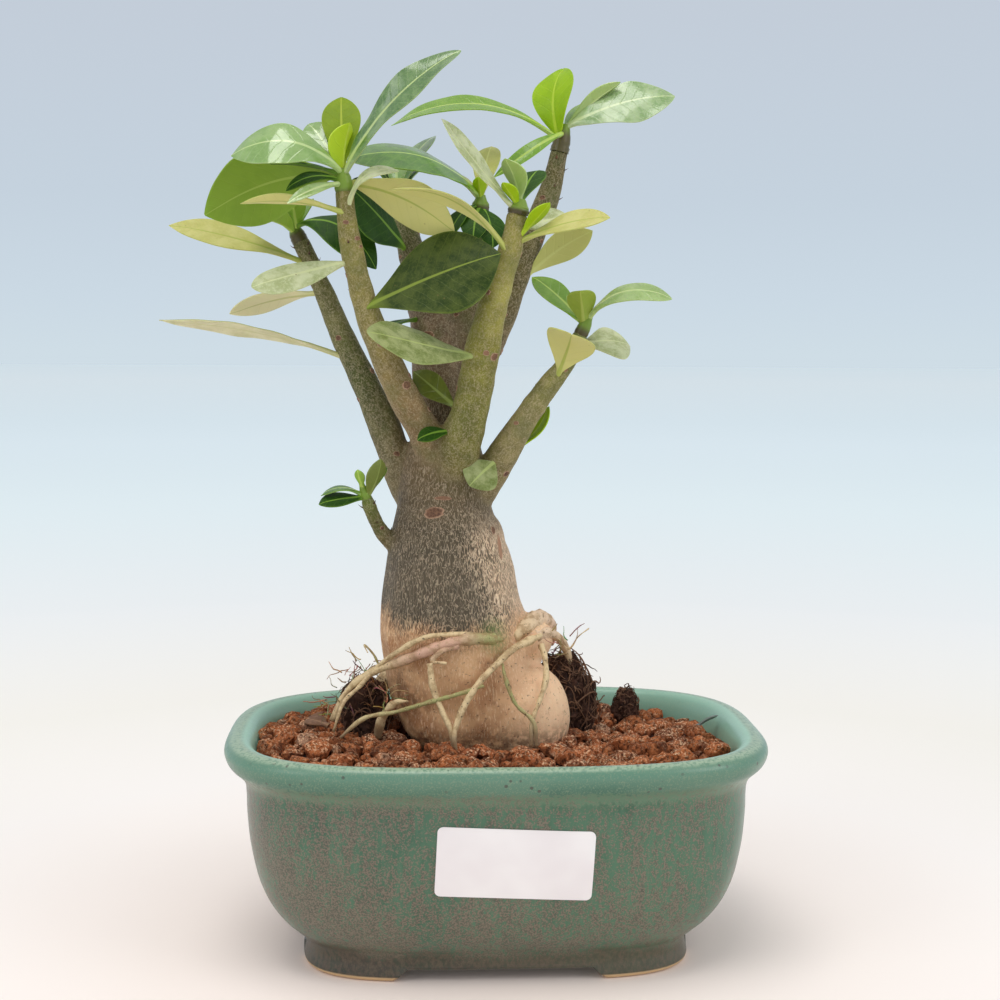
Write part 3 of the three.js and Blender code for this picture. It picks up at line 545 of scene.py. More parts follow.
def makeSticker():
    x, z = sticker["middle"]
    bpy.ops.mesh.primitive_plane_add(size=1, location=at(x, -80, z), rotation=(math.radians(90), 0, 0))
    label = bpy.context.object
    label.scale = (sticker["length"] * mm, sticker["height"] * mm, 1)
    pick(label)
    bpy.ops.object.transform_apply(location=False, rotation=False, scale=True)
    edit(label)
    bpy.ops.mesh.bevel(offset=sticker["corner"] * mm, segments=6, affect="VERTICES")
    leaveEdit()
    label.rotation_euler = Euler((math.radians(90), -math.radians(sticker["tilt"]), 0))
    pick(label)
    bpy.ops.object.transform_apply(location=True, rotation=True, scale=True)
    edit(label)
    # cut into strips both ways, so that it can follow the wall
    for half, across in zip(sticker["strips"], (Vector((1, 0, 0)), Vector((0, 0, 1)))):
        for step in range(-half, half + 1):
            bpy.ops.mesh.select_all(action="SELECT")
            bpy.ops.mesh.bisect(plane_co=at(x, 0, z) + across * sticker["strip"] * step * mm, plane_no=across)
    leaveEdit()
    finishWith(label, "SHRINKWRAP", target=potBody, wrap_method="PROJECT", use_project_y=True,
               use_positive_direction=True, use_negative_direction=True, offset=sticker["clear"] * mm)
    edit(label)
    closeUp()
    if label.data.polygons[0].normal.y > 0:
        edit(label)
        bpy.ops.mesh.flip_normals()
        leaveEdit()
    finishWith(label, "SOLIDIFY", thickness=sticker["thickness"] * mm, offset=1)
    shadeSmooth(label, 40)
    return label


def paperFinish():
    made = Finish("paper")
    here = made.place()
    fibre = made.cloud(here, 900, 5, 0.7)
    tint = made.cloud(here, 60, 2)
    made.feed("Base Color", made.blend(made.span(tint, 0.3, 0.7), paint(240, 233, 233), paint(247, 242, 241)))
    made.feed("Normal", made.bump(fibre, 0.12, 0.00005))
    made.set(Roughness=0.42, Specular_IOR_Level=0.4)
    return made.material


hand(makeSticker(), "blank_label", paperFinish(), "label", "label")
print("label stuck on")


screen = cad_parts["drain_screen"]
screen.data.materials.clear()
screen.data.materials.append(
    grainFinish("screenPlastic", (1800, 3), (0.3, 0.7), (34, 36, 36), (46, 48, 47), (0.15, 0.00004), 0.55))


# soil: a dark bed, and loose lava granules lying on it

soil = {
    "edge": 55.0,
    "middle": 58.0,
    "slope": -1.8,
    # height, pitch, level in the noise
    "swells": [(1.1, 0.05, 0), (0.6, 0.13, 9)],
    "wall": 66.6,
    "bedRings": [(46, 10.2), (56, 16.6), (61.4, 30.3), (63.4, 44), (64.6, 50.5)],
    "bedSides": 96,
    "bedSteps": 19,
    "bedStep": 3.2,
    "bedBelow": 1.2,
    "seed": 7,
    # smallest, largest, and how many times one is tried
    "sizes": [(3.2, 4.2, 240), (2.3, 3.2, 900), (1.4, 2.3, 3000), (0.7, 1.4, 4500)],
    "room": 0.76,
    "cell": 8.0,
    "rise": (-0.06, 0.48),
    "squash": [(0.9, 1.15), (0.75, 1.0), (0.62, 0.9)],
    "tilt": 0.5,
    "hollow": (-4.0, -1.0, 24.5, 18.5),
    "kinds": 6,
    # pitch and depth
    "lump": (0.9, 0.42),
    "chip": (2.3, 0.26),
    "rough": 0.06,
}


def soilHeight(x, y):
    radius = math.hypot(x, y / pot["rimDepth"])
    inwards = 1 - min(radius / soil["wall"], 1)
    swell = sum(lift * noise.noise(Vector((x, y, level)) * pitch) for lift, pitch, level in soil["swells"])
    return mix(soil["edge"], soil["middle"], math.sqrt(inwards)) + soil["slope"] * x / soil["wall"] + swell


def makeBed():
    size, low = soil["bedRings"][0]
    bpy.ops.mesh.primitive_circle_add(vertices=soil["bedSides"], radius=size * mm, fill_type="NGON",
                                      location=(0, 0, low * mm))
    bed = bpy.context.object
    edit(bed)
    rim = soil["wall"] - soil["bedBelow"]
    top = [(rim - soil["bedStep"] * (step + 1), soil["edge"]) for step in range(soil["bedSteps"])]
    for radius, height in soil["bedRings"][1:] + top:
        bpy.ops.mesh.extrude_region_move(TRANSFORM_OT_translate={"value": (0, 0, (height - low) * mm)})
        bpy.ops.transform.resize(value=(radius / size, radius / size, 1), center_override=(0, 0, height * mm))
        size, low = radius, height
    closeUp()
    for vertex in bed.data.vertices:
        x, y, z = (value / mm for value in vertex.co)
        x, y = toPlan(math.hypot(x, y), math.atan2(y, x), z)
        if z > soil["edge"] - 0.1:
            z = soilHeight(x, y) - soil["bedBelow"]
        vertex.co = at(x, y, z)
    shadeSmooth(bed)
    return bed


def makeGranuleKinds():
    kinds = []
    (lumpPitch, lumpDepth), (chipPitch, chipDepth) = soil["lump"], soil["chip"]
    for kind in range(soil["kinds"]):
        bpy.ops.mesh.primitive_ico_sphere_add(subdivisions=2, radius=1, location=(0, 0, 0))
        stone = bpy.context.object
        for vertex in stone.data.vertices:
            lump = lumpDepth * noise.noise(vertex.co * lumpPitch + Vector((7 * kind, 0, 0)))
            chip = chipDepth * noise.noise(vertex.co * chipPitch + Vector((0, 5 * kind, 0)))
            vertex.co = vertex.co * (1 + lump + chip)
        edit(stone)
        bpy.ops.transform.vertex_random(offset=soil["rough"], seed=kind)
        leaveEdit()
        kinds.append(stone)
    return kinds


def inHollow(x, y, room):
    middle, depth, halfLength, halfDepth = soil["hollow"]
    return ((x - middle) / (halfLength + room)) ** 2 + ((y - depth) / (halfDepth + room)) ** 2 < 1


# where the stones lie: the large ones first, then smaller ones wherever there is room
def layStones(draw):
    laid, stones = {}, []
    for small, large, tries in soil["sizes"]:
        for _ in range(tries):
            size = draw.uniform(small, large)
            angle, out = draw.uniform(-math.pi, math.pi), math.sqrt(draw.random())
            x, y = toPlan((soil["wall"] - 0.9 * size) * out, angle, soil["edge"])
            column, row = int(x // soil["cell"]), int(y // soil["cell"])
            near = []
            for beside in [(column + i, row + j) for i in (-1, 0, 1) for j in (-1, 0, 1)]:
                near += laid.get(beside, [])
            room = soil["room"]
            crowded = any((x - a) ** 2 + (y - b) ** 2 < (room * (size + other)) ** 2 for a, b, other in near)
            if crowded or inHollow(x, y, size * 0.2):
                continue
            laid.setdefault((column, row), []).append((x, y, size))
            stones.append((x, y, soilHeight(x, y) + draw.uniform(*soil["rise"]) * size, size))
    return stones


def makeGranules():
    kinds = makeGranuleKinds()
    draw = random.Random(soil["seed"])
    lumps = []
    for x, y, height, size in layStones(draw):
        stone = copyOf(draw.choice(kinds))
        squash = [draw.uniform(*ends) * size * mm for ends in soil["squash"]]
        turn = Euler([draw.uniform(0, 2 * math.pi) for _ in range(3)]).to_matrix().to_4x4()
        tilt = [draw.uniform(-soil["tilt"], soil["tilt"]) for _ in range(2)]
        lay = Euler((*tilt, 0)).to_matrix().to_4x4() @ Matrix.Diagonal((*squash, 1))
        stone.data.transform(Matrix.Translation(at(x, y, height)) @ lay @ turn)
        tint = stone.data.attributes.new("tint", "FLOAT", "POINT")
        tint.data.foreach_set("value", [draw.random()] * len(stone.data.vertices))
        lumps.append(stone)
    for kind in kinds:
        bpy.data.objects.remove(kind)
    print(len(lumps), "granules laid")
    granules = joined(lumps, "granules")
    shadeSmooth(granules, 38)
    return granules


def lavaFinish():
    made = Finish("lava")
    here = made.place()
    tint = made.tag("tint", "Fac")
    grain = made.cloud(here, 900, 5, 0.7)
    blotch = made.cloud(here, 260, 3, 0.6)
    pits = made.cells(here, 1100)
    colour = made.blend(made.span(tint, 0.0, 0.5), paint(98, 54, 34), paint(170, 98, 60))
    colour = made.blend(made.span(tint, 0.5, 0.8), colour, paint(130, 82, 60))
    colour = made.blend(made.span(tint, 0.975, 0.98), colour, paint(172, 130, 104))
    colour = made.blend(made.span(blotch, 0.38, 0.66, 0.0, 0.65), colour, paint(190, 114, 68))
    colour = made.blend(made.span(grain, 0.58, 0.36, 0.0, 0.85), colour, paint(46, 24, 14))
    # paler, in patches, on what faces up
    facing = made.split(made.facing())[2]
    paleOnTop = made.times(made.span(facing, 0.0, 0.7), made.span(made.cloud(here, 1500, 4, 0.75), 0.52, 0.60),
                       made.span(tint, 0.15, 0.7, 0.3, 1.0), 0.8)
    colour = made.blend(paleOnTop, colour, paint(234, 194, 156))
    made.feed("Base Color", colour)
    rough = made.bump(grain, 0.9, 0.0006)
    made.feed("Normal", made.bump(pits, 0.5, 0.0003, rough))
    made.set(Roughness=0.95, Specular_IOR_Level=0.15)
    return made.material


soilBed = grainFinish("soilBed", (700, 5, 0.7), (0.35, 0.65), (40, 22, 17), (84, 46, 34), (1.0, 0.0008), 0.95)
hand(makeBed(), "soil_bed", soilBed, "granules", "soil")
hand(makeGranules(), "lava_granules", lavaFinish(), "granules")
print("soil filled")


# plant: curves through points, as smooth as the part's own

def trace(points, t):
    place = min(max(t, 0), 1) * (len(points) - 1)
    index = min(int(place), len(points) - 2)
    share = place - index
    p1, p2 = Vector(points[index]), Vector(points[index + 1])
    p0 = Vector(points[index - 1]) if index > 0 else 2 * p1 - p2
    p3 = Vector(points[index + 2]) if index + 2 < len(points) else 2 * p2 - p1
    d0, d1, d2 = (math.sqrt((b - a).length) for a, b in ((p0, p1), (p1, p2), (p2, p3)))
    start = ((p1 - p0) / d0 - (p2 - p0) / (d0 + d1) + (p2 - p1) / d1) * d1
    end = ((p2 - p1) / d1 - (p3 - p1) / (d1 + d2) + (p3 - p2) / d2) * d1
    square, cube = share * share, share * share * share
    return (p1 * (2 * cube - 3 * square + 1) + start * (cube - 2 * square + share)
            + p2 * (3 * square - 2 * cube) + end * (cube - square))


def heading(points, t):
    return (trace(points, min(t + 0.002, 1)) - trace(points, max(t - 0.002, 0))).normalized()


def valueAlong(values, t):
    place = min(max(t, 0), 0.9999) * (len(values) - 1)
    index = int(place)
    return mix(values[index], values[index + 1], place - index)


def colourAlong(colours, t):
    return Vector([valueAlong(channel, t) for channel in zip(*colours)])


def direction(turn, rise):
    turn, rise = math.radians(turn), math.radians(rise)
    return Vector((math.cos(turn) * math.cos(rise), math.sin(turn) * math.cos(rise), math.sin(rise)))


# a round stem along the points, swept from a path
def tube(points, radii, steps, roundness=3, unevenness=0.0, seed=0):
    bpy.ops.curve.primitive_nurbs_path_add(location=(0, 0, 0))
    path = bpy.context.object
    bpy.ops.object.mode_set(mode="EDIT")
    bpy.ops.curve.spline_type_set(type="POLY")
    bpy.ops.object.mode_set(mode="OBJECT")
    spline = path.data.splines[0]
    spline.points.add(steps + 1 - len(spline.points))
    for step, knot in enumerate(spline.points):
        t = step / steps
        knot.co = (*at(*trace(points, t)), 1)
        lump = noise.noise(Vector((t * len(points) * 2.3, seed * 3.7, 0.5)))
        knot.radius = valueAlong(radii, t) * (1 + unevenness * lump)
    path.data.dimensions = "3D"
    path.data.bevel_depth = mm
    path.data.bevel_resolution = roundness
    path.data.use_fill_caps = True
    pick(path)
    bpy.ops.object.convert(target="MESH")
    edit(path)
    closeUp(0.005)
    return path


def paintPoints(piece, name, colours):
    layer = piece.data.attributes.new(name, "FLOAT_COLOR", "POINT")
    layer.data.foreach_set("color", [channel for colour in colours for channel in colour])


def tagPoints(piece, name, vectors):
    layer = piece.data.attributes.new(name, "FLOAT_VECTOR", "POINT")
    layer.data.foreach_set("vector", [value for vector in vectors for value in vector])


# the same value on every point
def paintAll(piece, name, colour):
    paintPoints(piece, name, [colour] * len(piece.data.vertices))


def tagAll(piece, name, vector):
    tagPoints(piece, name, [vector] * len(piece.data.vertices))


caudex = {
    "points": [(-8, 6, 34), (-5, 6, 46), (-4, 6, 62), (-9, 6, 76), (-12, 6, 90), (-13.1, 6, 104),
               (-13.9, 6, 115), (-14.3, 6.5, 124), (-14.4, 7.5, 134), (-14.5, 9, 145)],
    "radii": [10, 17.6, 21.3, 21.9, 20.8, 18.7, 15.7, 12.8, 11.5, 9],
    "colours": [(150, 112, 84), (158, 118, 88), (172, 132, 98), (176, 138, 104), (98, 90, 76), (96, 88, 74),
                (92, 84, 68), (104, 92, 72), (114, 98, 70), (112, 96, 68)],
}

lobes = [
    ((-10, 0, 64), (15.3, 15.3, 14.8)),
    ((9, -3, 64), (12.3, 11.8, 15.8)),
    ((8, 3, 85), (8.4, 8.8, 7.8)),
    ((-1.2, 5, 112.5), (4.1, 5.9, 7.9)),
]

branches = {
    "farLeft": {
        "points": [(-21, 9, 120), (-26.5, 12, 132), (-31.3, 14, 145), (-37.2, 16, 158), (-43, 18, 170),
                   (-48.6, 20, 183), (-55.4, 20, 197.6)],
        "radii": [4.8, 4.9, 4.6, 4.1, 3.5, 3, 2.4],
    },
    "frontLeft": {
        "points": [(-14.5, 3, 130), (-18.7, 0, 142), (-25.1, -4, 153), (-30.7, -7, 165), (-35.2, -8, 176),
                   (-38.2, -10, 187), (-40.4, -11, 198), (-41.4, -12, 209)],
        "radii": [5.2, 4.9, 4.5, 4.1, 3.6, 3.2, 2.9, 2.6],
    },
    "middle": {
        "points": [(-14, 9, 134), (-14.5, 13, 150), (-16, 17, 166), (-18, 20, 179), (-22, 22, 190),
                   (-25, 24, 200), (-27, 25, 208)],
        "radii": [9, 8.4, 8, 6.6, 4.6, 3.6, 2.8],
    },
    "middleRight": {
        "points": [(-11, 16, 156), (-8, 19, 170), (-6, 20, 182), (-4.5, 18, 195), (-4, 16, 206)],
        "radii": [6.5, 5.6, 4.4, 3.5, 2.7],
    },
    "frontRight": {
        "points": [(-13, 3, 126), (-10.8, -1, 138), (-7.2, -5, 151), (-4.9, -7, 163), (-2.6, -8, 174),
                   (0, -9, 184), (3.4, -10, 195), (5.1, -10.5, 203.5)],
        "radii": [6, 6, 5.5, 5.1, 4.5, 3.7, 3.2, 3],
    },
    "rearRight": {
        "points": [(-9, 13, 148), (-6.2, 15, 158), (-1, 18, 169), (3.8, 20, 180), (7.8, 22, 191),
                   (12.8, 24, 203), (17, 26, 214), (19.4, 26, 224.5)],
        "radii": [5, 4.6, 4.2, 4, 3.8, 3.6, 3.3, 2.7],
    },
    "lowRight": {
        "points": [(-9.6, 6, 121), (-4.3, 4, 128), (1, 2, 136), (5, 0, 143), (9.4, -2, 150), (14.3, -3, 157),
                   (19.2, -4, 163.5), (23, -4, 171.2)],
        "radii": [5.6, 5.2, 4.4, 3.8, 3.3, 3, 2.6, 2],
    },
    "twig": {
        "points": [(-24, 4, 110), (-30, 2, 113.5), (-33, 0, 118), (-35, -3, 123), (-36, -4, 126)],
        "radii": [3, 2.4, 2, 1.9, 1.5],
    },
}

branchColours = {
    "farLeft": [(112, 103, 78), (112, 106, 74), (76, 84, 40), (110, 112, 70), (90, 92, 52)],
    "frontLeft": [(120, 102, 70), (138, 116, 82), (132, 126, 72), (144, 140, 78), (120, 118, 58)],
    "middle": [(112, 98, 76), (116, 98, 80), (112, 94, 78), (92, 92, 60), (90, 100, 52)],
    "middleRight": [(110, 96, 76), (104, 94, 70), (92, 98, 58), (96, 112, 52)],
    "frontRight": [(106, 100, 54), (112, 116, 52), (140, 140, 64), (166, 166, 88), (124, 122, 58)],
    "rearRight": [(112, 100, 76), (114, 100, 70), (92, 86, 48), (98, 96, 54), (82, 76, 38)],
    "lowRight": [(140, 128, 98), (128, 120, 78), (142, 138, 92), (132, 132, 74), (98, 118, 46)],
    "twig": [(122, 106, 82), (108, 102, 66), (104, 110, 60), (100, 120, 52)],
}

bark = {
    "voxel": 0.68,
    "smoothing": 7,
    "samples": 40,
    "reach": 1.4,
    "nearest": -4,
    "stemsApart": 90,
    # scale across, scale along, depth
    "ripples": [(0.055, 0.05, 1.1), (0.16, 0.07, 0.35), (0.5, 0.11, 0.13)],
    "young": 0.35,
    "rootJoin": (1.0, -14.5, 89.0),
    "dirtAndShade": (-27.0, 70.0),
    "stemSides": 60,
    "branchSides": 40,
}


def stemList():
    stems = [("caudex", caudex["points"], caudex["radii"], caudex["colours"])]
    for name, branch in branches.items():
        stems.append((name, branch["points"], branch["radii"], branchColours[name]))
    return stems


def makeBody():
    parts = [tube(caudex["points"], caudex["radii"], bark["stemSides"], 9)]
    for name, branch in branches.items():
        parts.append(tube(branch["points"], branch["radii"], bark["branchSides"], 5, 0.10, len(name)))
    for middle, size in lobes:
        bpy.ops.mesh.primitive_uv_sphere_add(segments=32, ring_count=20, radius=1, location=at(*middle))
        lobe = bpy.context.object
        lobe.scale = Vector(size) * mm
        pick(lobe)
        bpy.ops.object.transform_apply(location=True, rotation=True, scale=True)
        parts.append(lobe)
    body = joined(parts, "plantBody")
    finishWith(body, "REMESH", mode="VOXEL", voxel_size=bark["voxel"] * mm)
    finishWith(body, "SMOOTH", factor=0.5, iterations=bark["smoothing"])

    # nearest stem of every point, for its colour and for the direction of its grain
    stems = []
    for name, points, radii, colours in stemList():
        tree = kdtree.KDTree(bark["samples"] + 1)
        rows = []
        side = Vector((0, 1, 0))
        for sample in range(bark["samples"] + 1):
            t = sample / bark["samples"]
            middle, along = trace(points, t), heading(points, t)
            across = along.cross(side).normalized()
            tree.insert(middle, sample)
            run = (middle - rows[-1][0]).length + rows[-1][4] if rows else 0
            rows.append((middle, along, across, valueAlong(radii, t), run))
        tree.balance()
        shades = [Vector(colour) / 255 for colour in colours]
        stems.append((tree, rows, shades))

    flow, shade, age = [], [], []
    offset = at(0, 0, 0)
    for vertex in body.data.vertices:
        spot = (vertex.co - offset) / mm
        total, mixed, best, bestScore, old = 0, Vector((0, 0, 0)), None, 1e9, 0
        for index, (tree, rows, shades) in enumerate(stems):
            _, sample, distance = tree.find(spot)
            score = distance - rows[sample][3]
            weight = math.exp(-max(score, bark["nearest"]) / bark["reach"])
            colour = colourAlong(shades, sample / bark["samples"])
            mixed += colour * weight
            total += weight
            if index == 0:
                old = weight
            if score < bestScore:
                bestScore, best = score, (index, rows[sample])
        index, (middle, along, across, _, run) = best
        local = spot - middle
        aside = local.dot(across) + bark["stemsApart"] * index
        flow.append((aside, local.dot(along.cross(across)), run + local.dot(along)))
        shade.append((*[channel ** 2.2 for channel in mixed / total], 1))
        age.append((old / total, 0, 0))
    tagPoints(body, "flow", flow)
    tagPoints(body, "age", age)
    paintPoints(body, "barkColour", shade)

    # slow swellings, soft upright folds and fine wrinkles
    normals = [vertex.normal.copy() for vertex in body.data.vertices]
    for vertex, normal, run, old in zip(body.data.vertices, normals, flow, age):
        lift = 0
        for side, along, depth in bark["ripples"]:
            wave = noise.noise(Vector((run[0] * side, run[1] * side, run[2] * along)))
            lift += wave * depth * mix(bark["young"], 1, old[0])
        vertex.co += normal * lift * mm
    shadeSmooth(body)
    return body


def barkFinish():
    made = Finish("bark")
    here = made.place(inMillimetres, (-middleX / mm, -middleY / mm, 0))
    x, y, z = made.split(here)
    flow = made.tag("flow")
    old = made.split(made.tag("age"))[0]
    base = made.tag("barkColour", "Color")

    # a woven skin: fine wavy upright ridges, pale, with painted shade in the gaps between them
    warp = made.node("ShaderNodeTexNoise", {"Vector": here, "Scale": 0.5, "Detail": 2.0}).outputs["Color"]
    bent = made.node("ShaderNodeVectorMath", {0: here, 1: warp}, operation="ADD").outputs[0]
    tall = made.stretch(bent, (1.8, 1.8, 0.38))
    weave = made.creases(tall, 1)
    wrinkle = made.span(weave, 0.06, 0.0)
    gapShade = made.span(weave, 0.06, 0.15, 0.0, 0.5)

    patch = made.cloud(here, 0.06, 3, 0.5)
    grain = made.cloud(here, 1.6, 3, 0.6)
    dark = made.shade(base, (0.73, 0.73, 0.73, 1))
    # faint level bands, darkest right above the old soil line
    level = made.stretch(here, (0.03, 0.03, 0.22))
    bands = made.times(made.span(made.cloud(level, 1.0, 3, 0.6, 0.4), 0.36, 0.62, 0.2, 0.9),
                       made.span(z, 95.0, 102.0, 0.5, 1.0))
    grey = made.blend(bands, dark, base)
    grey = made.blend(gapShade, grey, made.shade(grey, (0.57, 0.56, 0.54, 1)))
    # a pale band near the stem's right edge: partly its own pale bark, partly a painted highlight from the
    # light on that side
    uneven = made.span(patch, 0.3, 0.7, -2.5, 2.5)
    rightSide = made.plus(x, made.times(z, 0.3), uneven, made.span(weave, 0.02, 0.14, 3.0, -3.0))
    paleAndLitRight = made.times(made.span(rightSide, 23.5, 35.0), made.span(z, 124.0, 112.0))
    pale = made.blend(wrinkle, paint(208, 184, 160), paint(255, 240, 218))
    pale = made.blend(gapShade, pale, paint(136, 118, 100))
    grey = made.blend(made.times(paleAndLitRight, 0.9), grey, pale)
    strong = made.span(paleAndLitRight, 0.0, 1.0, 0.66, 0.0)
    grey = made.blend(made.times(wrinkle, strong), grey, paint(200, 188, 170))

    # below the old soil line the skin is tan, with short pale strokes
    lean = made.times(made.maths("POWER", made.apart(x, -12.0), 2.0), 0.0085)
    edge = made.plus(made.minus(z, lean), uneven, made.span(weave, 0.02, 0.14, -2.0, 2.0))
    below = made.times(made.span(edge, 94.0, 85.5), made.span(z, 112.0, 96.0))
    broad = made.cloud(here, 0.11, 3)
    blotch = made.cloud(here, 0.35, 4, 0.65)
    tan = made.blend(made.span(broad, 0.36, 0.64), paint(178, 134, 98), paint(218, 180, 142))
    # lighter toward the right: partly the paler skin of the right lobe, partly a painted highlight on it
    tan = made.blend(made.span(x, -2.0, 14.0, 0.0, 0.85), tan, paint(250, 220, 190))
    tan = made.blend(made.span(blotch, 0.55, 0.75, 0.0, 0.5), tan, paint(158, 116, 84))
    slant = made.stretch(here, (2.6, 2.0, 0.6), (0, 0.7, 0))
    stroke = made.span(made.cloud(slant, 1.0, 2), 0.56, 0.66)
    tan = made.blend(made.times(stroke, 0.5), tan, paint(246, 226, 198))
    tan = made.blend(made.times(wrinkle, made.span(z, 74.0, 86.0, 0.12, 0.55)), tan, paint(240, 218, 188))
    body = made.blend(below, grey, tan)

    # a green tinge where the pinkish root leaves the stem
    near = made.node("ShaderNodeVectorMath", {0: here, 1: bark["rootJoin"]}, operation="DISTANCE")
    tinge = made.times(made.span(near.outputs["Value"], 8.0, 3.0), made.span(grain, 0.35, 0.6, 0.25, 0.8))
    body = made.blend(tinge, body, paint(112, 134, 78))

    # young bark: smooth, with fine pale speckles and a faint net of wrinkles
    mild = made.shade(base, (0.72, 0.72, 0.70, 1))
    young = made.blend(made.span(made.cloud(flow, 0.25, 3), 0.36, 0.64), mild, base)
    flecks = made.span(made.cloud(flow, 2.4, 3, 0.6), 0.50, 0.66)
    young = made.blend(made.times(flecks, 0.30), young, paint(206, 200, 176))
    net = made.stretch(flow, (0.9, 0.9, 0.6))
    net = made.span(made.creases(net, 2), 0.07, 0.0)
    young = made.blend(made.times(net, 0.26), young, paint(196, 186, 162))
    moss = made.span(made.cloud(flow, 0.13, 3), 0.52, 0.66, 0.0, 0.35)
    young = made.blend(moss, young, paint(84, 96, 48))
    skin = made.blend(made.span(old, 0.25, 0.7), young, body)

    # dirt and painted shade under the roots on the left, on the front only
    reach = made.plus(made.apart(x, bark["dirtAndShade"][0]), made.apart(z, bark["dirtAndShade"][1]))
    dirtAndShade = made.times(made.span(reach, 13.0, 3.0), made.span(made.cloud(here, 0.35, 4, 0.7), 0.36, 0.58),
                      made.span(y, 0.0, -6.0, 0.0, 0.75))
    skin = made.blend(dirtAndShade, skin, paint(104, 72, 50))

    # dirt near the soil
    dirt = made.times(made.span(made.cloud(here, 0.9, 4, 0.7), 0.60, 0.67), made.span(z, 92.0, 78.0), 0.7)
    skin = made.blend(dirt, skin, paint(78, 50, 36))
    splash = made.times(made.span(z, 66.0, 58.0), made.span(made.cloud(here, 0.5, 4, 0.7), 0.35, 0.6), 0.7)
    skin = made.blend(splash, skin, paint(78, 48, 34))
    # all of it a little warmer
    made.feed("Base Color", made.shade(skin, (1.0, 0.90, 0.78, 1)))

    upright = made.times(wrinkle, made.span(old, 0.2, 0.7), made.span(below, 0.0, 1.0, 1.0, 0.25))
    folded = made.bump(upright, 0.65, 0.00035)
    made.feed("Normal", made.bump(grain, 0.35, 0.00025, folded))
    made.set(Roughness=0.62, Specular_IOR_Level=0.35, Subsurface_Weight=0.06, Subsurface_Scale=0.001)
    return made.material


plantBody = hand(makeBody(), "plant_body", barkFinish(), "bark", "plant")
print("stem and branches grown,", len(plantBody.data.vertices), "points")


# roots that hang outside the stem

tanRoot, palePinkRoot = paint(218, 192, 148), paint(208, 164, 140)
greenRoot, creamRoot = paint(158, 156, 100), paint(228, 198, 168)

roots = [
    dict(
        points=[(1.2, -13.6, 88.0), (-1.8, -15.8, 88.4), (-7.7, -18, 88.9), (-14.1, -18, 87.6),
                (-21.6, -15, 84.1), (-29.1, -9, 80.2), (-35.7, -6, 76.9), (-41.2, -6, 72.5), (-45.6, -6, 64)],
        radii=[0.9, 1.6, 1.8, 1.5, 1.4, 1.25, 1.1, 1.0, 0.8],
        colours=[greenRoot, greenRoot, palePinkRoot, palePinkRoot, tanRoot, tanRoot, tanRoot],
    ),
    dict(
        points=[(-4, -16.3, 89.6), (-8.8, -17.5, 90.1), (-19.4, -16.5, 89.2), (-26.9, -12, 84.6),
                (-33.5, -7, 78.8), (-37.9, -7, 73.8), (-42.2, -9, 69.8), (-45, -11, 62)],
        radii=[0.3, 0.75, 0.7, 0.7, 0.7, 0.6, 0.5, 0.4],
    ),
    dict(
        points=[(-10.9, -18, 87.3), (-15.7, -18, 85.5), (-17.8, -17, 82.8), (-14.1, -19, 82.4)],
        radii=[1.1, 0.9, 0.8, 0.3],
        colours=[palePinkRoot, tanRoot],
    ),
    dict(
        points=[(-18.6, -17.5, 82.2), (-17.8, -18.5, 76.1), (-15.4, -20, 69.9), (-13.1, -22, 64.9),
                (-12.2, -23, 58)],
        radii=[0.9, 0.85, 0.85, 0.75, 0.6],
    ),
    dict(
        points=[(-4, -19.5, 76.4), (-10.9, -20, 74.2), (-19.4, -19, 71.6), (-28, -16, 68.5),
                (-36.6, -14, 66.3), (-43, -14, 61)],
        radii=[0.5, 0.6, 0.65, 0.6, 0.6, 0.5],
        colours=[greenRoot, greenRoot, tanRoot],
    ),
    dict(
        points=[(12.5, -4.5, 87.4), (9, -8.6, 86.6), (4.4, -12.5, 85.1), (-0.1, -16, 81.8), (-5, -19, 77.4),
                (-8.8, -20.5, 72.1), (-11.5, -22, 66), (-12.1, -23.5, 63.1), (-11.5, -24, 58)],
        radii=[0.8, 1.25, 1.15, 1.0, 0.95, 0.9, 0.85, 0.7, 0.5],
    ),
    dict(
        points=[(1.2, -15.5, 81.6), (2, -17, 77.8), (4.7, -18, 70.9), (9.5, -18.5, 66.1), (10.5, -18.5, 59)],
        radii=[0.45, 0.55, 0.6, 0.6, 0.5],
        colours=[greenRoot, greenRoot, tanRoot],
    ),
    dict(
        points=[(12.5, -6, 85), (13.4, -9, 81.6), (13.4, -12, 76.7), (11.4, -15, 70.8), (9.4, -17.5, 66.4),
                (9, -18.5, 59)],
        radii=[0.9, 0.8, 0.8, 0.75, 0.7, 0.5],
    ),
    dict(
        points=[(4.5, -6, 86.8), (8.6, -3, 89.6), (12.4, 2, 90.8), (15.2, 5, 88), (15.2, 6, 83)],
        radii=[1.8, 2.4, 2.7, 2.6, 1.8],
        colours=[tanRoot, creamRoot, palePinkRoot],
    ),
    dict(
        points=[(11, -4, 87), (15.3, 0, 87.2), (19.3, 4, 84), (21.6, 6, 78.7), (23, 6.6, 71), (23.4, 7, 60)],
        radii=[1.6, 1.6, 1.3, 1.0, 0.9, 0.6],
        colours=[creamRoot, tanRoot],
    ),
    dict(
        points=[(17.1, 2, 86.3), (20.8, 0, 82.7), (23.4, -1, 86.4), (26.4, -1, 88.7)],
        radii=[0.3, 0.25, 0.22, 0.15],
    ),
    dict(
        points=[(-32.5, -4, 78.7), (-34.1, -4, 82.1), (-36.7, -4, 84.9), (-35.7, -6, 83)],
        radii=[0.35, 0.3, 0.25, 0.2],
        colours=[greenRoot, tanRoot],
    ),
    dict(
        points=[(-33, -9, 60), (-31.5, -11.5, 66), (-28, -13.5, 70.5), (-24.5, -14.5, 71.2)],
        radii=[1.2, 1.3, 1.0, 0.3],
    ),
    dict(
        points=[(-24, 10, 76), (-31, 10, 72), (-36, 10, 66), (-39, 10, 58)],
        radii=[3.0, 2.4, 1.7, 1.0],
    ),
]


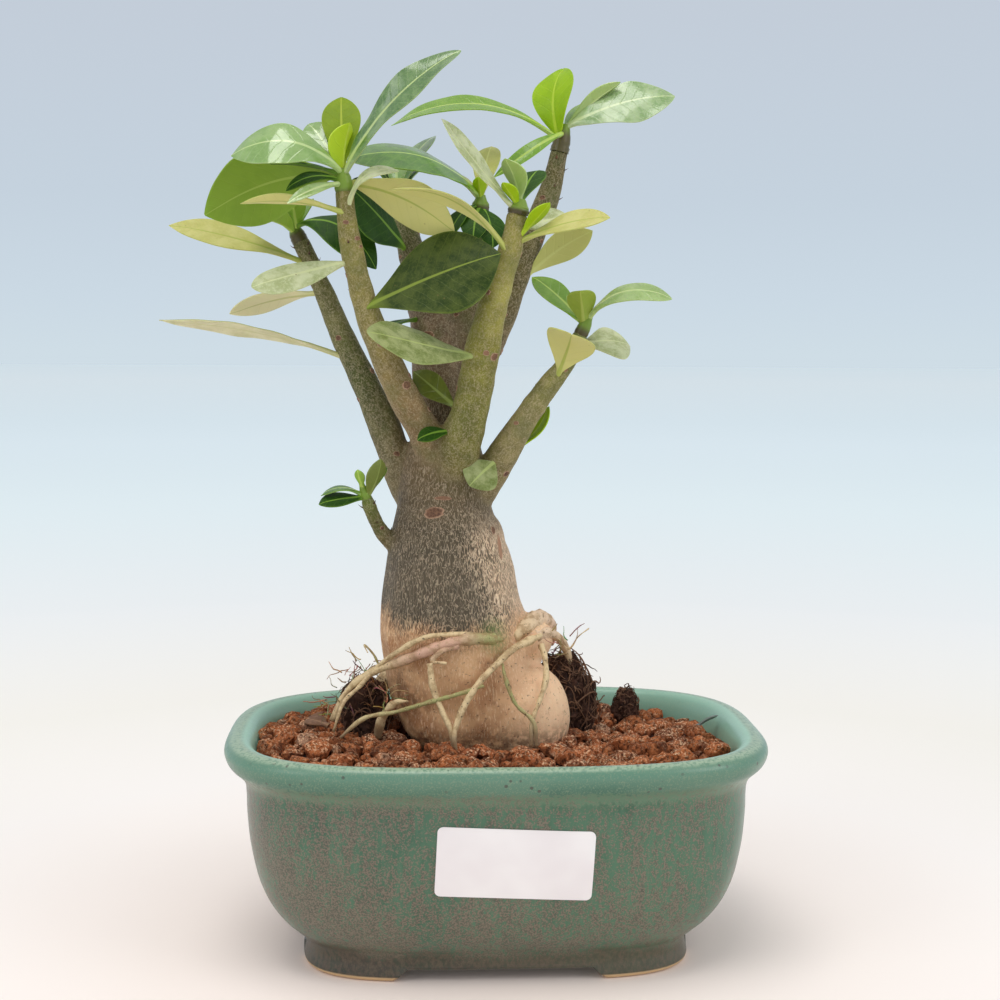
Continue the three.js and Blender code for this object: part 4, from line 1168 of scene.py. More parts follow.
hairs = {
    # middle, spread each way, how many
    "places": [((-38, -3, 76), (5, 5, 5), 26), ((-44, -4, 68), (5, 7, 4), 18),
               ((-30, -12, 72), (5, 3, 4), 10), ((18, -1, 85), (4, 4, 4), 12)],
    "dark": paint(84, 58, 40),
    "pale": paint(196, 164, 120),
    "rise": (-30, 60),
    "knots": (4, 7),
    "bend": 0.55,
    "step": (0.9, 1.7),
    "thick": (0.10, 0.20),
    "uneven": 0.35,
    "rough": 0.12,
    "seed": 21,
}


# a line that wanders off from a place, in short steps
def wander(draw, place, way, knots, bend, step):
    points = []
    for _ in range(draw.randint(*knots)):
        points.append(tuple(place))
        way = (way + anyWay(draw) * bend).normalized()
        place = place + way * draw.uniform(*step)
    return points


def anyWay(draw):
    return Vector([draw.uniform(-1, 1) for _ in range(3)])


def makeRoots():
    strands = []
    for index, root in enumerate(roots):
        strand = tube(root["points"], root["radii"], 7 * len(root["points"]), 2, hairs["uneven"], index)
        tree = kdtree.KDTree(bark["samples"] + 1)
        for sample in range(bark["samples"] + 1):
            tree.insert(at(*trace(root["points"], sample / bark["samples"])), sample)
        tree.balance()
        shades, colours = root.get("colours", [tanRoot, tanRoot]), []
        for vertex in strand.data.vertices:
            colours.append(colourAlong(shades, tree.find(vertex.co)[1] / bark["samples"]))
            vertex.co += vertex.normal * noise.noise(vertex.co * 600) * hairs["rough"] * mm
        paintPoints(strand, "rootColour", colours)
        strands.append(strand)
    draw = random.Random(hairs["seed"])
    for middle, spread, count in hairs["places"]:
        for _ in range(count):
            start = Vector(middle) + Vector([draw.uniform(-half, half) for half in spread])
            way = direction(draw.uniform(0, 360), draw.uniform(*hairs["rise"]))
            points = wander(draw, start, way, hairs["knots"], hairs["bend"], hairs["step"])
            thick = draw.uniform(*hairs["thick"])
            hair = tube(points, [thick, thick, thick * 0.5], 2 * len(points), 0)
            shade = [mix(low, high, draw.random()) for low, high in zip(hairs["dark"], hairs["pale"])]
            paintAll(hair, "rootColour", shade)
            strands.append(hair)
    whole = joined(strands, "roots")
    shadeSmooth(whole)
    return whole


def rootFinish():
    made = Finish("rootSkin")
    here = made.place(inMillimetres)
    z = made.split(here)[2]
    base = made.tag("rootColour", "Color")
    cloudy = made.cloud(here, 0.5, 4, 0.6)
    grain = made.cloud(here, 2.2, 3, 0.6)
    colour = made.blend(made.span(cloudy, 0.58, 0.36, 0.0, 0.65), base, paint(150, 116, 76))
    colour = made.blend(made.span(grain, 0.55, 0.7, 0.0, 0.5), colour, paint(228, 206, 164))
    dirt = made.plus(made.span(cloudy, 0.4, 0.6, -0.1, 0.1), made.span(z, 70.0, 60.0))
    colour = made.blend(made.span(dirt, 0.3, 1.1, 0.0, 0.7), colour, paint(86, 56, 38))
    specks = made.span(made.cloud(here, 1.2, 2), 0.66, 0.70)
    colour = made.blend(made.times(specks, 0.8), colour, paint(60, 38, 28))
    made.feed("Base Color", colour)
    made.feed("Normal", made.bump(grain, 0.5, 0.0003))
    made.set(Roughness=0.6, Specular_IOR_Level=0.35)
    return made.material


hand(makeRoots(), "hanging_roots", rootFinish(), "bark", "plant")
print("roots hung")


# leaves

looks = {
    "dark": dict(top=(37, 56, 8), spot=(78, 90, 34), under=(106, 126, 64), rib=(136, 152, 58), mottle=0.8,
                 gloss=0.45),
    "deep": dict(top=(30, 66, 4), spot=(50, 88, 8), under=(90, 122, 40), rib=(134, 172, 60), mottle=0.3,
                 gloss=0.55),
    "glossDark": dict(top=(62, 108, 12), spot=(104, 150, 40), under=(104, 142, 54), rib=(180, 208, 98),
                      mottle=0.3, gloss=0.2),
    "dusk": dict(top=(90, 100, 32), spot=(116, 124, 46), under=(116, 128, 56), rib=(146, 160, 84),
                 mottle=0.5, gloss=0.3),
    "glossy": dict(top=(116, 152, 72), spot=(150, 178, 108), under=(140, 172, 84), rib=(190, 210, 138),
                   mottle=0.3, gloss=0.1),
    "lime": dict(top=(134, 170, 4), spot=(154, 188, 12), under=(160, 190, 20), rib=(180, 202, 60),
                 mottle=0.25, gloss=0.42),
    # the next two are darker and lighter copies of lime: painted shade for a leaf further back, painted light
    # for one facing up
    "limeShaded": dict(top=(112, 136, 2), spot=(130, 152, 8), under=(130, 154, 10), rib=(168, 180, 56),
                     mottle=0.25, gloss=0.5),
    "limeLit": dict(top=(164, 192, 8), spot=(176, 204, 22), under=(180, 206, 26), rib=(192, 212, 70),
                      mottle=0.2, gloss=0.3),
    "fresh": dict(top=(102, 144, 26), spot=(134, 170, 56), under=(146, 182, 56), rib=(184, 206, 96),
                  mottle=0.3, gloss=0.22),
    "shoot": dict(top=(114, 142, 46), spot=(138, 162, 66), under=(132, 156, 60), rib=(160, 180, 90),
                  mottle=0.8, gloss=0.35),
    "mint": dict(top=(132, 160, 84), spot=(166, 188, 124), under=(160, 182, 98), rib=(198, 212, 144),
                 mottle=0.5, gloss=0.2),
    "greyMint": dict(top=(118, 150, 88), spot=(172, 190, 144), under=(156, 178, 108), rib=(198, 210, 156),
                     mottle=0.8, gloss=0.18),
    "greyGreen": dict(top=(66, 106, 44), spot=(124, 152, 94), under=(112, 142, 74), rib=(190, 206, 134),
                      mottle=0.6, gloss=0.15),
    "silver": dict(top=(156, 164, 112), spot=(202, 206, 166), under=(196, 200, 150), rib=(204, 208, 158),
                   mottle=0.9, gloss=0.42),
    "frost": dict(top=(108, 120, 60), spot=(160, 166, 114), under=(150, 160, 98), rib=(172, 184, 112),
                  mottle=0.9, gloss=0.4),
    "cream": dict(top=(186, 182, 104), spot=(206, 200, 132), under=(208, 202, 126), rib=(164, 174, 80),
                  mottle=0.5, gloss=0.45),
    "tan": dict(top=(218, 210, 156), spot=(230, 222, 178), under=(236, 228, 184), rib=(200, 198, 130),
                mottle=0.6, gloss=0.5),
    "pinkTan": dict(top=(136, 144, 70), spot=(166, 164, 96), under=(220, 214, 174), rib=(198, 196, 136),
                    mottle=0.5, gloss=0.5),
    "olive": dict(top=(168, 168, 88), spot=(190, 188, 112), under=(188, 188, 108), rib=(198, 200, 124),
                  mottle=0.5, gloss=0.4),
    "leek": dict(top=(128, 148, 44), spot=(146, 162, 62), under=(150, 168, 64), rib=(178, 188, 96),
                 mottle=0.4, gloss=0.4),
    "clear": dict(top=(94, 130, 30), spot=(118, 150, 46), under=(132, 162, 54), rib=(162, 184, 84),
                  mottle=0.2, gloss=0.45),
    "collar": dict(top=(92, 84, 50), spot=(66, 54, 34), under=(92, 84, 50), rib=(124, 108, 70)),
    "dry": dict(top=(104, 72, 52), spot=(138, 104, 80), under=(120, 88, 66), rib=(150, 116, 88), mottle=0.9,
                gloss=0.6),
    "sliver": dict(top=(44, 50, 48), spot=(96, 106, 100), under=(120, 130, 124), rib=(150, 156, 150),
                   mottle=0.5, gloss=0.2),
}

leafParts = ("top", "spot", "under", "rib")

blade = {
    "steps": 30,
    "cells": 12,
    "stalk": 1.5,
    "grown": (0.06, 0.24),
    "widest": 1.55,
    "thickness": 0.72,
    "edgeThin": 0.55,
    "tip": 0.5,
    "tipPower": 0.75,
    "tipStart": 0.88,
    "tipThin": 0.8,
    "ribWidth": 0.8,
    "ribGroove": 0.16,
    "ribKeel": 0.34,
    "ripple": 0.5,
    "fold": 0.1,
    "bunch": 1.5,
    "smooth": 50,
}


# a flat slab, 0 to 1 along, -1 to 1 across, 0 underneath and 1 on top: every leaf is shaped from it
def makeSlab():
    bpy.ops.mesh.primitive_grid_add(x_subdivisions=blade["steps"], y_subdivisions=blade["cells"], size=2,
                                    location=(0, 0, 0))
    slab = bpy.context.object
    edit(slab)
    bpy.ops.mesh.extrude_region_move(TRANSFORM_OT_translate={"value": (0, 0, 1)})
    closeUp()
    for vertex in slab.data.vertices:
        share = (vertex.co.x + 1) / 2
        vertex.co.x = 1 - (1 - share) ** blade["bunch"]
    return slab


# the leaf's thickness along u and across v, its grooved rib, fold, wave and ripples
def leafLift(leaf, u, v, top, half, grown, seed):
    flat = blade["thickness"] * (1 - blade["edgeThin"] * v * v)
    thin = mix(blade["stalk"] * math.sqrt(1 - 0.8 * v * v), flat, grown)
    thin *= 1 - blade["tipThin"] * ease((u - blade["tipStart"]) / (1 - blade["tipStart"]))
    rib = math.exp(-(v * half / blade["ribWidth"]) ** 2) * grown * (1 - u)
    lift = (top - 0.5) * thin - rib * blade["ribGroove" if top > 0.5 else "ribKeel"]
    lift += leaf.get("fold", blade["fold"]) * abs(v) * half * grown
    lift += leaf.get("wave", 0) * leaf["width"] * math.sin(4 * math.pi * u) * v * abs(v) * grown
    ripple = noise.noise(Vector((u * leaf["length"] * 0.12, v * half * 0.14, seed * 5.3)))
    return lift + blade["ripple"] * ripple * abs(v) * grown * min(leaf["width"] / 10, 1.3)


def makeLeaf(slab, leaf, start, seed):
    piece = copyOf(slab)
    forward = direction(leaf["heading"], leaf["rise"])
    upright = direction(leaf["heading"], leaf["rise"] + 90)
    right = forward.cross(upright)
    length, width, bow = leaf["length"], leaf["width"], leaf["bow"]
    roll = math.radians(leaf.get("roll", 0))
    face = upright * math.cos(roll) + right * math.sin(roll)
    across = face.cross(forward)
    grownStart, grownLength = blade["grown"]
    places, shape = [], []
    for vertex in piece.data.vertices:
        u, v, top = vertex.co
        normal = (face - forward * 4 * bow * (1 - 2 * u)).normalized()
        outline = max(math.sin(math.pi * u ** blade["widest"]), 0) ** leaf.get("tip", blade["tipPower"])
        half = max(width / 2 * outline, blade["stalk" if u < 0.5 else "tip"] / 2)
        lift = leafLift(leaf, u, v, top, half, ease((u - grownStart) / grownLength), seed)
        vertex.co = at(*(start + forward * length * u + face * 4 * bow * length * u * (1 - u)
                         + across * v * half + normal * lift))
        places.append((u * length, v * half, top))
        shape.append((u, v, seed))
    tagPoints(piece, "blade", places)
    tagPoints(piece, "shape", shape)
    look = looks[leaf["look"]]
    for part in leafParts:
        paintAll(piece, part, paint(*look[part]))
    tagAll(piece, "traits", (look["gloss"], look["mottle"], 0))
    shadeSmooth(piece, blade["smooth"])
    return piece


def leafFinish():
    made = Finish("leafSkin")
    along, across, upper = made.split(made.tag("blade"))
    u, v, seed = made.split(made.tag("shape"))
    gloss, mottle, _ = made.split(made.tag("traits"))
    colours = {part: made.tag(part, "Color") for part in leafParts}
    off = made.maths("ABSOLUTE", across)
    flat = made.node("ShaderNodeCombineXYZ", {"X": along, "Y": across, "Z": made.times(seed, 7.0)}).outputs[0]
    isTop = made.span(upper, 0.3, 0.7)

    # midrib, then side veins that leave it at a slant
    ribWidth = made.span(u, 0.1, 1.0, 0.72, 0.14, smooth=False)
    rib = made.span(made.maths("DIVIDE", off, ribWidth), 1.0, 0.45)
    veinPlace = made.plus(made.minus(along, made.times(off, 0.75)),
                          made.span(made.cloud(flat, 0.22, 1), 0.0, 1.0, -0.9, 0.9, smooth=False))
    between = made.apart(made.maths("FRACT", made.maths("DIVIDE", veinPlace, 3.1)), 0.5)
    vein = made.times(made.span(between, 0.07, 0.0), made.span(u, 0.16, 0.3))
    net = made.span(made.cells(flat, 0.9, "DISTANCE_TO_EDGE"), 0.09, 0.0)

    cloudy = made.cloud(flat, 0.22, 4, 0.6)
    fine = made.cloud(flat, 1.4, 4, 0.7)
    speck = made.times(made.span(fine, 0.46, 0.66), mottle)
    patches = made.times(made.span(cloudy, 0.38, 0.64), made.span(mottle, 0, 1, 0.35, 0.8, smooth=False))
    top = made.blend(patches, colours["top"], colours["spot"])
    top = made.blend(made.times(speck, 0.6), top, colours["spot"])
    top = made.blend(made.times(vein, 0.10), top, colours["rib"])
    top = made.blend(made.times(net, 0.06), top, colours["rib"])
    top = made.blend(made.times(rib, 0.8), top, colours["rib"])
    under = made.blend(made.span(cloudy, 0.36, 0.66, 0.0, 0.35), colours["under"], colours["spot"])
    under = made.blend(made.times(vein, 0.10), under, colours["rib"])
    under = made.blend(made.times(rib, 0.8), under, colours["rib"])
    whole = made.blend(isTop, under, top)
    margin = made.span(made.maths("ABSOLUTE", v), 0.94, 1.0, 0.0, 0.25)
    whole = made.blend(margin, whole, colours["rib"])
    # stalk paler than the blade, and a few brown flecks
    whole = made.blend(made.span(u, 0.22, 0.04, 0.0, 0.55), whole, colours["rib"])
    fleck = made.span(made.cells(flat, 0.28), 0.075, 0.045)
    whole = made.blend(made.times(fleck, mottle, 0.7), whole, paint(112, 92, 50))
    made.feed("Base Color", whole)
    made.feed("Roughness", made.blend(isTop, (0.5, 0.5, 0.5, 1), gloss))
    height = made.minus(made.times(cloudy, 0.6), made.times(vein, 0.5))
    made.feed("Normal", made.bump(height, 0.35, 0.0003))
    made.feed("Specular IOR Level", made.span(gloss, 0.1, 0.45, 0.8, 0.2, smooth=False))
    made.feed("Coat Weight", made.times(isTop, made.span(gloss, 0.1, 0.3, 0.6, 0.0, smooth=False)))
    made.set(Coat_Roughness=0.36, Subsurface_Weight=0.12, Subsurface_Radius=(0.6, 1.0, 0.25),
             Subsurface_Scale=0.0008)
    return made.material


shoot = {
    "sink": 0.4,
    "joints": (0.35, 0.7),
    "past": 1.2,
    "taper": (1, 0.98, 0.85, 0.45),
    "fade": 0.5,
}


def makeShoot(start, tangent, rise, radius, collar):
    lengths = [-shoot["sink"], *[share * rise for share in shoot["joints"]], rise + shoot["past"]]
    radii = [radius * share for share in shoot["taper"]]
    piece = tube([tuple(start + tangent * length) for length in lengths], radii, 12, 4, 0.1, rise)
    tagAll(piece, "blade", (0, 3, 1))
    tagAll(piece, "shape", (0.3, 0, rise))
    tagAll(piece, "traits", (looks["shoot"]["gloss"], looks["shoot"]["mottle"], 0))
    # scaly brown collar below, green above
    heights = [(vertex.co - at(*start)).dot(tangent) / mm for vertex in piece.data.vertices]
    shares = [ease((height - collar * rise) / (shoot["fade"] * rise)) for height in heights]
    for part in leafParts:
        low, high = paint(*looks["collar"][part]), paint(*looks["shoot"][part])
        paintPoints(piece, part, [[mix(a, b, share) for a, b in zip(low, high)] for share in shares])
    return piece


leafSkin = leafFinish()
slab = makeSlab()

crowns = {
    "frontLeft": [
        dict(look="greyGreen", up=3, heading=-16, rise=45, length=45.5, width=10, bow=0.11, roll=59,
             fold=0.15, wave=0.05, tip=0.62),
        dict(look="glossy", up=4, heading=-172, rise=8, length=29.5, width=14, bow=0.3, roll=-55, fold=-0.1),
        dict(look="limeLit", up=2.5, heading=-50, rise=79, length=15, width=10, bow=0.07, roll=17,
             fold=0.3),
        dict(look="mint", up=1.5, heading=-139, rise=-19, length=19.5, width=3.5, bow=0.09, roll=-43,
             fold=0.2),
        dict(look="deep", up=2, heading=-171, rise=-10, length=15.5, width=6, bow=0.18, roll=-35),
        dict(look="deep", up=4, heading=172, rise=8, length=21, width=6, bow=0.05, roll=-8),
        dict(look="glossy", up=4, heading=138, rise=48, length=19, width=9, bow=0.1, roll=-40),
        dict(look="clear", up=3.5, heading=171, rise=-15, length=39, width=23, bow=0.18, roll=47, fold=-0.1,
             tip=0.8),
        dict(look="limeShaded", up=4.5, heading=94, rise=64, length=23.5, width=10.5, bow=0.08, roll=-4),
        dict(look="cream", up=2, heading=7, rise=-23, length=32.5, width=15.5, bow=0.14, roll=-44, fold=-0.1),
    ],
    "farLeft": [
        dict(look="fresh", up=2, heading=-130, rise=11, length=16, width=9, bow=0.1, roll=10, fold=0.45),
        dict(look="mint", up=2, heading=-150, rise=69, length=20, width=9, bow=-0.04, roll=30),
        dict(look="fresh", up=2, heading=-95, rise=42, length=15, width=7, bow=0.1, fold=0.3),
        dict(look="fresh", up=2, heading=40, rise=61, length=12, width=6, bow=0.1),
        dict(look="deep", up=4, heading=-24, rise=-25, length=28.5, width=15, bow=0.28, roll=32, fold=-0.1),
    ],
    "middle": [
        dict(look="greyGreen", up=2, heading=39, rise=54, length=24, width=9, bow=0.1),
        dict(look="greyGreen", up=2, heading=70, rise=30, length=26, width=12, bow=0.15),
        dict(look="deep", up=2, heading=150, rise=34, length=26, width=12, bow=0.15),
        dict(look="glossy", up=3, heading=100, rise=70, length=16, width=7, bow=0.05, fold=0.2),
    ],
    "middleRight": [
        dict(look="glossDark", up=3.5, heading=-162, rise=13, length=40.5, width=19, bow=0.17, roll=-30,
             fold=-0.1, tip=0.66),
        dict(look="deep", up=1, heading=-103, rise=-44, length=15, width=8, bow=0.15),
        dict(look="deep", up=1, heading=-70, rise=-52, length=15, width=9, bow=0.15),
        dict(look="deep", up=2, heading=-143, rise=-43, length=15, width=8, bow=0.15),
        dict(look="olive", up=3, heading=77, rise=46, length=24, width=8, bow=0.08),
        dict(look="olive", up=3, heading=137, rise=29, length=21, width=8, bow=0.08),
        dict(look="lime", up=3, heading=-100, rise=50, length=8, width=4, bow=0, fold=0.3),
    ],
    "frontRight": [
        dict(look="silver", up=0, heading=-151, rise=44, length=33, width=10.5, bow=-0.02, roll=-50,
             fold=0.15, tip=0.84),
        dict(look="mint", up=2.5, heading=-132, rise=61, length=13, width=8.5, bow=0.1, roll=-7),
        dict(look="lime", up=1, heading=-126, rise=39, length=10, width=4.5, bow=0.05, fold=0.2),
        dict(look="deep", up=2, heading=60, rise=41, length=16, width=8.5, bow=0.08),
    ],
    "rearRight": [
        dict(look="lime", up=2, heading=80, rise=75, length=23, width=14, bow=0.2, roll=-29, fold=0.15),
        dict(look="greyMint", up=6.5, heading=-6, rise=16, length=33, width=14, bow=0.11, roll=59,
             fold=-0.06, wave=0.03),
        dict(look="fresh", up=5, heading=44, rise=38, length=18, width=9, bow=0.05),
        dict(look="mint", up=6, heading=-15, rise=39, length=21, width=4.5, bow=0.06, roll=-33, fold=0.5),
        dict(look="fresh", up=5, heading=-144, rise=-29, length=29.5, width=4, bow=0.18, roll=-64, fold=0.3),
        dict(look="fresh", up=2.5, heading=179, rise=5, length=49.5, width=9.5, bow=0.18, roll=-32, tip=0.86),
    ],
    "lowRight": [
        dict(look="fresh", up=2.5, heading=156, rise=41, length=20.5, width=9.5, bow=0.05, roll=-30),
        dict(look="leek", up=2, heading=-104, rise=51, length=12.5, width=8, bow=0.1, roll=8, fold=0.3),
        dict(look="mint", up=4.5, heading=-21, rise=13, length=24, width=9, bow=0.23, roll=34, fold=-0.06,
             tip=0.63),
    ],
    "twig": [
        dict(look="deep", up=0, heading=-163, rise=-7, length=13.5, width=7.5, bow=0.04, roll=-25),
        dict(look="glossDark", up=0, heading=-172, rise=3, length=12.5, width=4, bow=0.19, roll=-15),
        dict(look="dusk", up=0, heading=-38, rise=65, length=12, width=8, bow=-0.06),
        dict(look="deep", up=0, heading=34, rise=50, length=10.5, width=4.5, bow=0.02),
        dict(look="fresh", up=3, heading=-117, rise=61, length=6, width=3, bow=0),
    ],
}

singleLeaves = {
    "leaf_left_recurved": dict(look="cream", branch="frontLeft", along=0.92, side=-110, heading=-163, rise=3,
        length=27.5, width=6, bow=0.08, roll=17),
    "leaf_right_recurved": dict(look="silver", branch="frontLeft", along=0.95, side=-60, heading=-10,
        rise=32, length=16, width=6, bow=0.24, roll=35),
    "leaf_broad_front": dict(look="dark", branch="frontLeft", along=0.59, side=-100, heading=-8, rise=22,
        length=39.5, width=24.5, bow=0.06, roll=66, fold=-0.06, tip=0.83),
    "leaf_left_mottled": dict(look="silver", branch="frontLeft", along=0.75, heading=-156, rise=-15,
        length=27.5, width=9.5, bow=0.02, roll=-46, fold=-0.1, tip=0.58),
    "leaf_left_yellow": dict(look="cream", branch="farLeft", along=0.93, heading=-167, rise=14, length=39,
        width=11, bow=0.04, roll=-42, tip=0.86),
    "leaf_left_tan": dict(look="tan", branch="farLeft", along=0.83, heading=171, rise=-13, length=26.5,
        width=9, bow=0.06, roll=33, fold=-0.1),
    "leaf_left_long": dict(look="pinkTan", branch="farLeft", along=0.59, heading=-172, rise=11, length=52.5,
        width=10, bow=0.05, roll=18, fold=-0.12, tip=0.86),
    "leaf_middle_dark": dict(look="deep", branch="middle", along=0.75, heading=-126, rise=31, length=31.5,
        width=18, bow=0.03, roll=-78, fold=-0.06),
    "leaf_middle_low": dict(look="deep", branch="middle", along=0.45, heading=-139, rise=-16, length=16,
        width=7, bow=0.08),
    "leaf_middle_small": dict(look="dusk", branch="frontRight", along=0.28, heading=158, rise=38,
        length=16.5, width=7.5, bow=0.01, roll=-61),
    "leaf_front_small": dict(look="deep", branch="frontRight", along=0.21, side=-150, heading=-162, rise=-12,
        length=10, width=5.5, bow=0.11, roll=-36),
    "leaf_right_yellow": dict(look="cream", branch="frontRight", along=0.87, heading=-21, rise=13,
        length=25.5, width=10, bow=0.06, roll=36),
    "leaf_right_sprout": dict(look="lime", branch="frontRight", along=0.9, heading=-34, rise=43, length=12,
        width=6, bow=0, roll=-10),
    "leaf_right_mottled": dict(look="silver", branch="frontRight", along=0.93, heading=14, rise=14,
        length=14, width=9, bow=0.05, roll=50, fold=-0.05),
    "leaf_front_narrow": dict(look="cream", branch="frontRight", along=0.83, side=-110, heading=-163,
        rise=25, length=36, width=7, bow=0.18, roll=16, fold=-0.3),
    "leaf_front_grey": dict(look="frost", branch="frontRight", along=0.45, side=-120, heading=-149, rise=11,
        length=34, width=16.5, bow=0, roll=-38, fold=-0.08, tip=0.66),
    "leaf_rear_olive": dict(look="olive", branch="rearRight", along=0.53, heading=-14, rise=34, length=23.5,
        width=10, bow=0.11, roll=-55, fold=-0.05),
    "leaf_round_low": dict(look="frost", branch="lowRight", along=0.28, side=-110, heading=-140, rise=-33,
        length=11.5, width=11, bow=0.1, roll=-49, fold=0.05),
    "leaf_low_folded": dict(look="cream", branch="lowRight", along=0.77, heading=-82, rise=35, length=19.5,
        width=14, bow=0.13, roll=-28, fold=0.2, tip=0.84),
    "leaf_low_mottled": dict(look="silver", branch="lowRight", along=0.94, heading=17, rise=0, length=15,
        width=14.5, bow=0.11, roll=36, fold=-0.05),
    "leaf_low_behind": dict(look="lime", branch="lowRight", along=0.36, heading=4, rise=52, length=14.5,
        width=6, bow=-0.12, roll=23),
}

leafSlots = {
    "leaf_dark": ("dark", "deep", "dusk"),
    "leaf_glossy": ("glossDark", "glossy", "fresh", "clear"),
    "leaf_fresh": ("lime", "limeShaded", "limeLit", "leek"),
    "leaf_silver": ("mint", "greyMint", "greyGreen", "silver", "frost"),
    "leaf_pale": ("cream", "tan", "pinkTan", "olive"),
}

# how much of each shoot is still brown and scaly
collars = {
    "frontLeft": -0.3, "farLeft": 0.45, "middle": 0.3, "middleRight": 0.3,
    "frontRight": 0.15, "rearRight": 0.6, "lowRight": 0.1, "twig": -0.3,
}


def slotOf(leaf):
    return next(slot for slot, members in leafSlots.items() if leaf["look"] in members)


for name, crown in crowns.items():
    branch = branches[name]
    end, tangent = Vector(branch["points"][-1]), heading(branch["points"], 1)
    highest = max(leaf["up"] for leaf in crown)
    parts = [makeShoot(end, tangent, highest, branch["radii"][-1], collars[name])]
    for index, leaf in enumerate(crown):
        parts.append(makeLeaf(slab, leaf, end + tangent * leaf["up"], index + len(name)))
    piece = joined(parts, "leaves_" + name)
    shadeSmooth(piece, blade["smooth"])
    hand(piece, "leaves_" + name, leafSkin, "leaf_glossy", "crown_" + name)

for index, (name, leaf) in enumerate(singleLeaves.items()):
    branch, along = branches[leaf["branch"]], leaf["along"]
    outwards = direction(leaf.get("side", leaf["heading"]), 0)
    start = trace(branch["points"], along) + outwards * 0.7 * valueAlong(branch["radii"], along)
    piece = makeLeaf(slab, leaf, start, index + 20)
    hand(piece, name.replace("leaf_", "blade_"), leafSkin, slotOf(leaf), name)
print("leaves grown")


# peat: dark matted fibre between the roots, and a crumb of it on the soil

peat = {
    "peat_left": dict(at=(-37, 4.8, 62), size=(8.6, 8.8, 12.2), fibres=330, seed=3),
    "peat_right": dict(at=(19.2, 8.0, 64.5), size=(11.2, 9.0, 15.6), fibres=520, seed=11),
    "peat_crumb": dict(at=(39.8, 20, 61), size=(4.2, 3.6, 6.6), fibres=90, seed=5),
}

fibres = {
    "core": 0.84,
    # pitch, depth, where the clump's own seed shifts it
    "lumps": [(1.7, 0.26, (1, 0, 0)), (4, 0.20, (0, 1, 0)), (11, 0.12, (0, 0, 0))],
    "rise": (-20, 90),
    "start": (0.84, 0.98),
    "lifts": (0, 0, 0.015, 0.045),
    "furthest": 1.16,
    "knots": (4, 7),
    "straight": 0.8,
    "bend": 0.5,
    "step": 0.16,
    "thick": (0.09, 0.24),
}


def onClump(clump, out, share):
    spot = [middle + step * half * share for middle, step, half in zip(clump["at"], out, clump["size"])]
    return Vector(spot)


# each fibre creeps over the lump, and now and then leaves it
def creep(draw, clump):
    out = direction(draw.uniform(0, 360), draw.uniform(*fibres["rise"]))
    way = anyWay(draw)
    share, lift = draw.uniform(*fibres["start"]), draw.choice(fibres["lifts"])
    points = []
    for _ in range(draw.randint(*fibres["knots"])):
        points.append(tuple(onClump(clump, out, share)))
        way = way * fibres["straight"] + anyWay(draw) * fibres["bend"]
        out = (out + way * fibres["step"]).normalized()
        share = min(share + lift, fibres["furthest"])
    return points


def makePeat(clump):
    bpy.ops.mesh.primitive_ico_sphere_add(subdivisions=5, radius=1, location=(0, 0, 0))
    core = bpy.context.object
    seed = clump["seed"]
    for vertex in core.data.vertices:
        out = vertex.co.copy()
        lump = sum(depth * noise.noise(out * pitch + Vector(shift) * seed)
                   for pitch, depth, shift in fibres["lumps"])
        vertex.co = at(*onClump(clump, out, fibres["core"] + lump))
    tagAll(core, "strand", (0, 0, 0))
    draw = random.Random(seed)
    parts = [core]
    for _ in range(clump["fibres"]):
        points = creep(draw, clump)
        thick = draw.uniform(*fibres["thick"])
        fibre = tube(points, [thick, thick, thick * 0.4], 2 * len(points), 0)
        tagAll(fibre, "strand", (1, draw.random(), 0))
        parts.append(fibre)
    return joined(parts, "peat")


def peatFinish():
    made = Finish("peatFibre")
    here = made.place(inMillimetres)
    isFibre, tone, _ = made.split(made.tag("strand"))
    fine = made.cloud(here, 1.3, 5, 0.7)
    broad = made.cloud(here, 0.25, 3)
    colour = made.blend(made.span(broad, 0.35, 0.65), paint(50, 31, 24), paint(82, 54, 42))
    colour = made.blend(made.span(fine, 0.55, 0.75, 0.0, 0.8), colour, paint(142, 104, 78))
    fibre = made.blend(tone, paint(72, 46, 36), paint(150, 112, 86))
    made.feed("Base Color", made.blend(isFibre, colour, fibre))
    made.feed("Normal", made.bump(fine, 1.0, 0.0009))
    made.set(Roughness=0.9, Specular_IOR_Level=0.25)
    return made.material


peatFibre = peatFinish()
for name, clump in peat.items():
    replaced = [name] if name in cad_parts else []
    hand(makePeat(clump), name.replace("peat_", "fibre_"), peatFibre, "peat", *replaced)
print("peat packed")


# scars and bud scales, seated on the bark

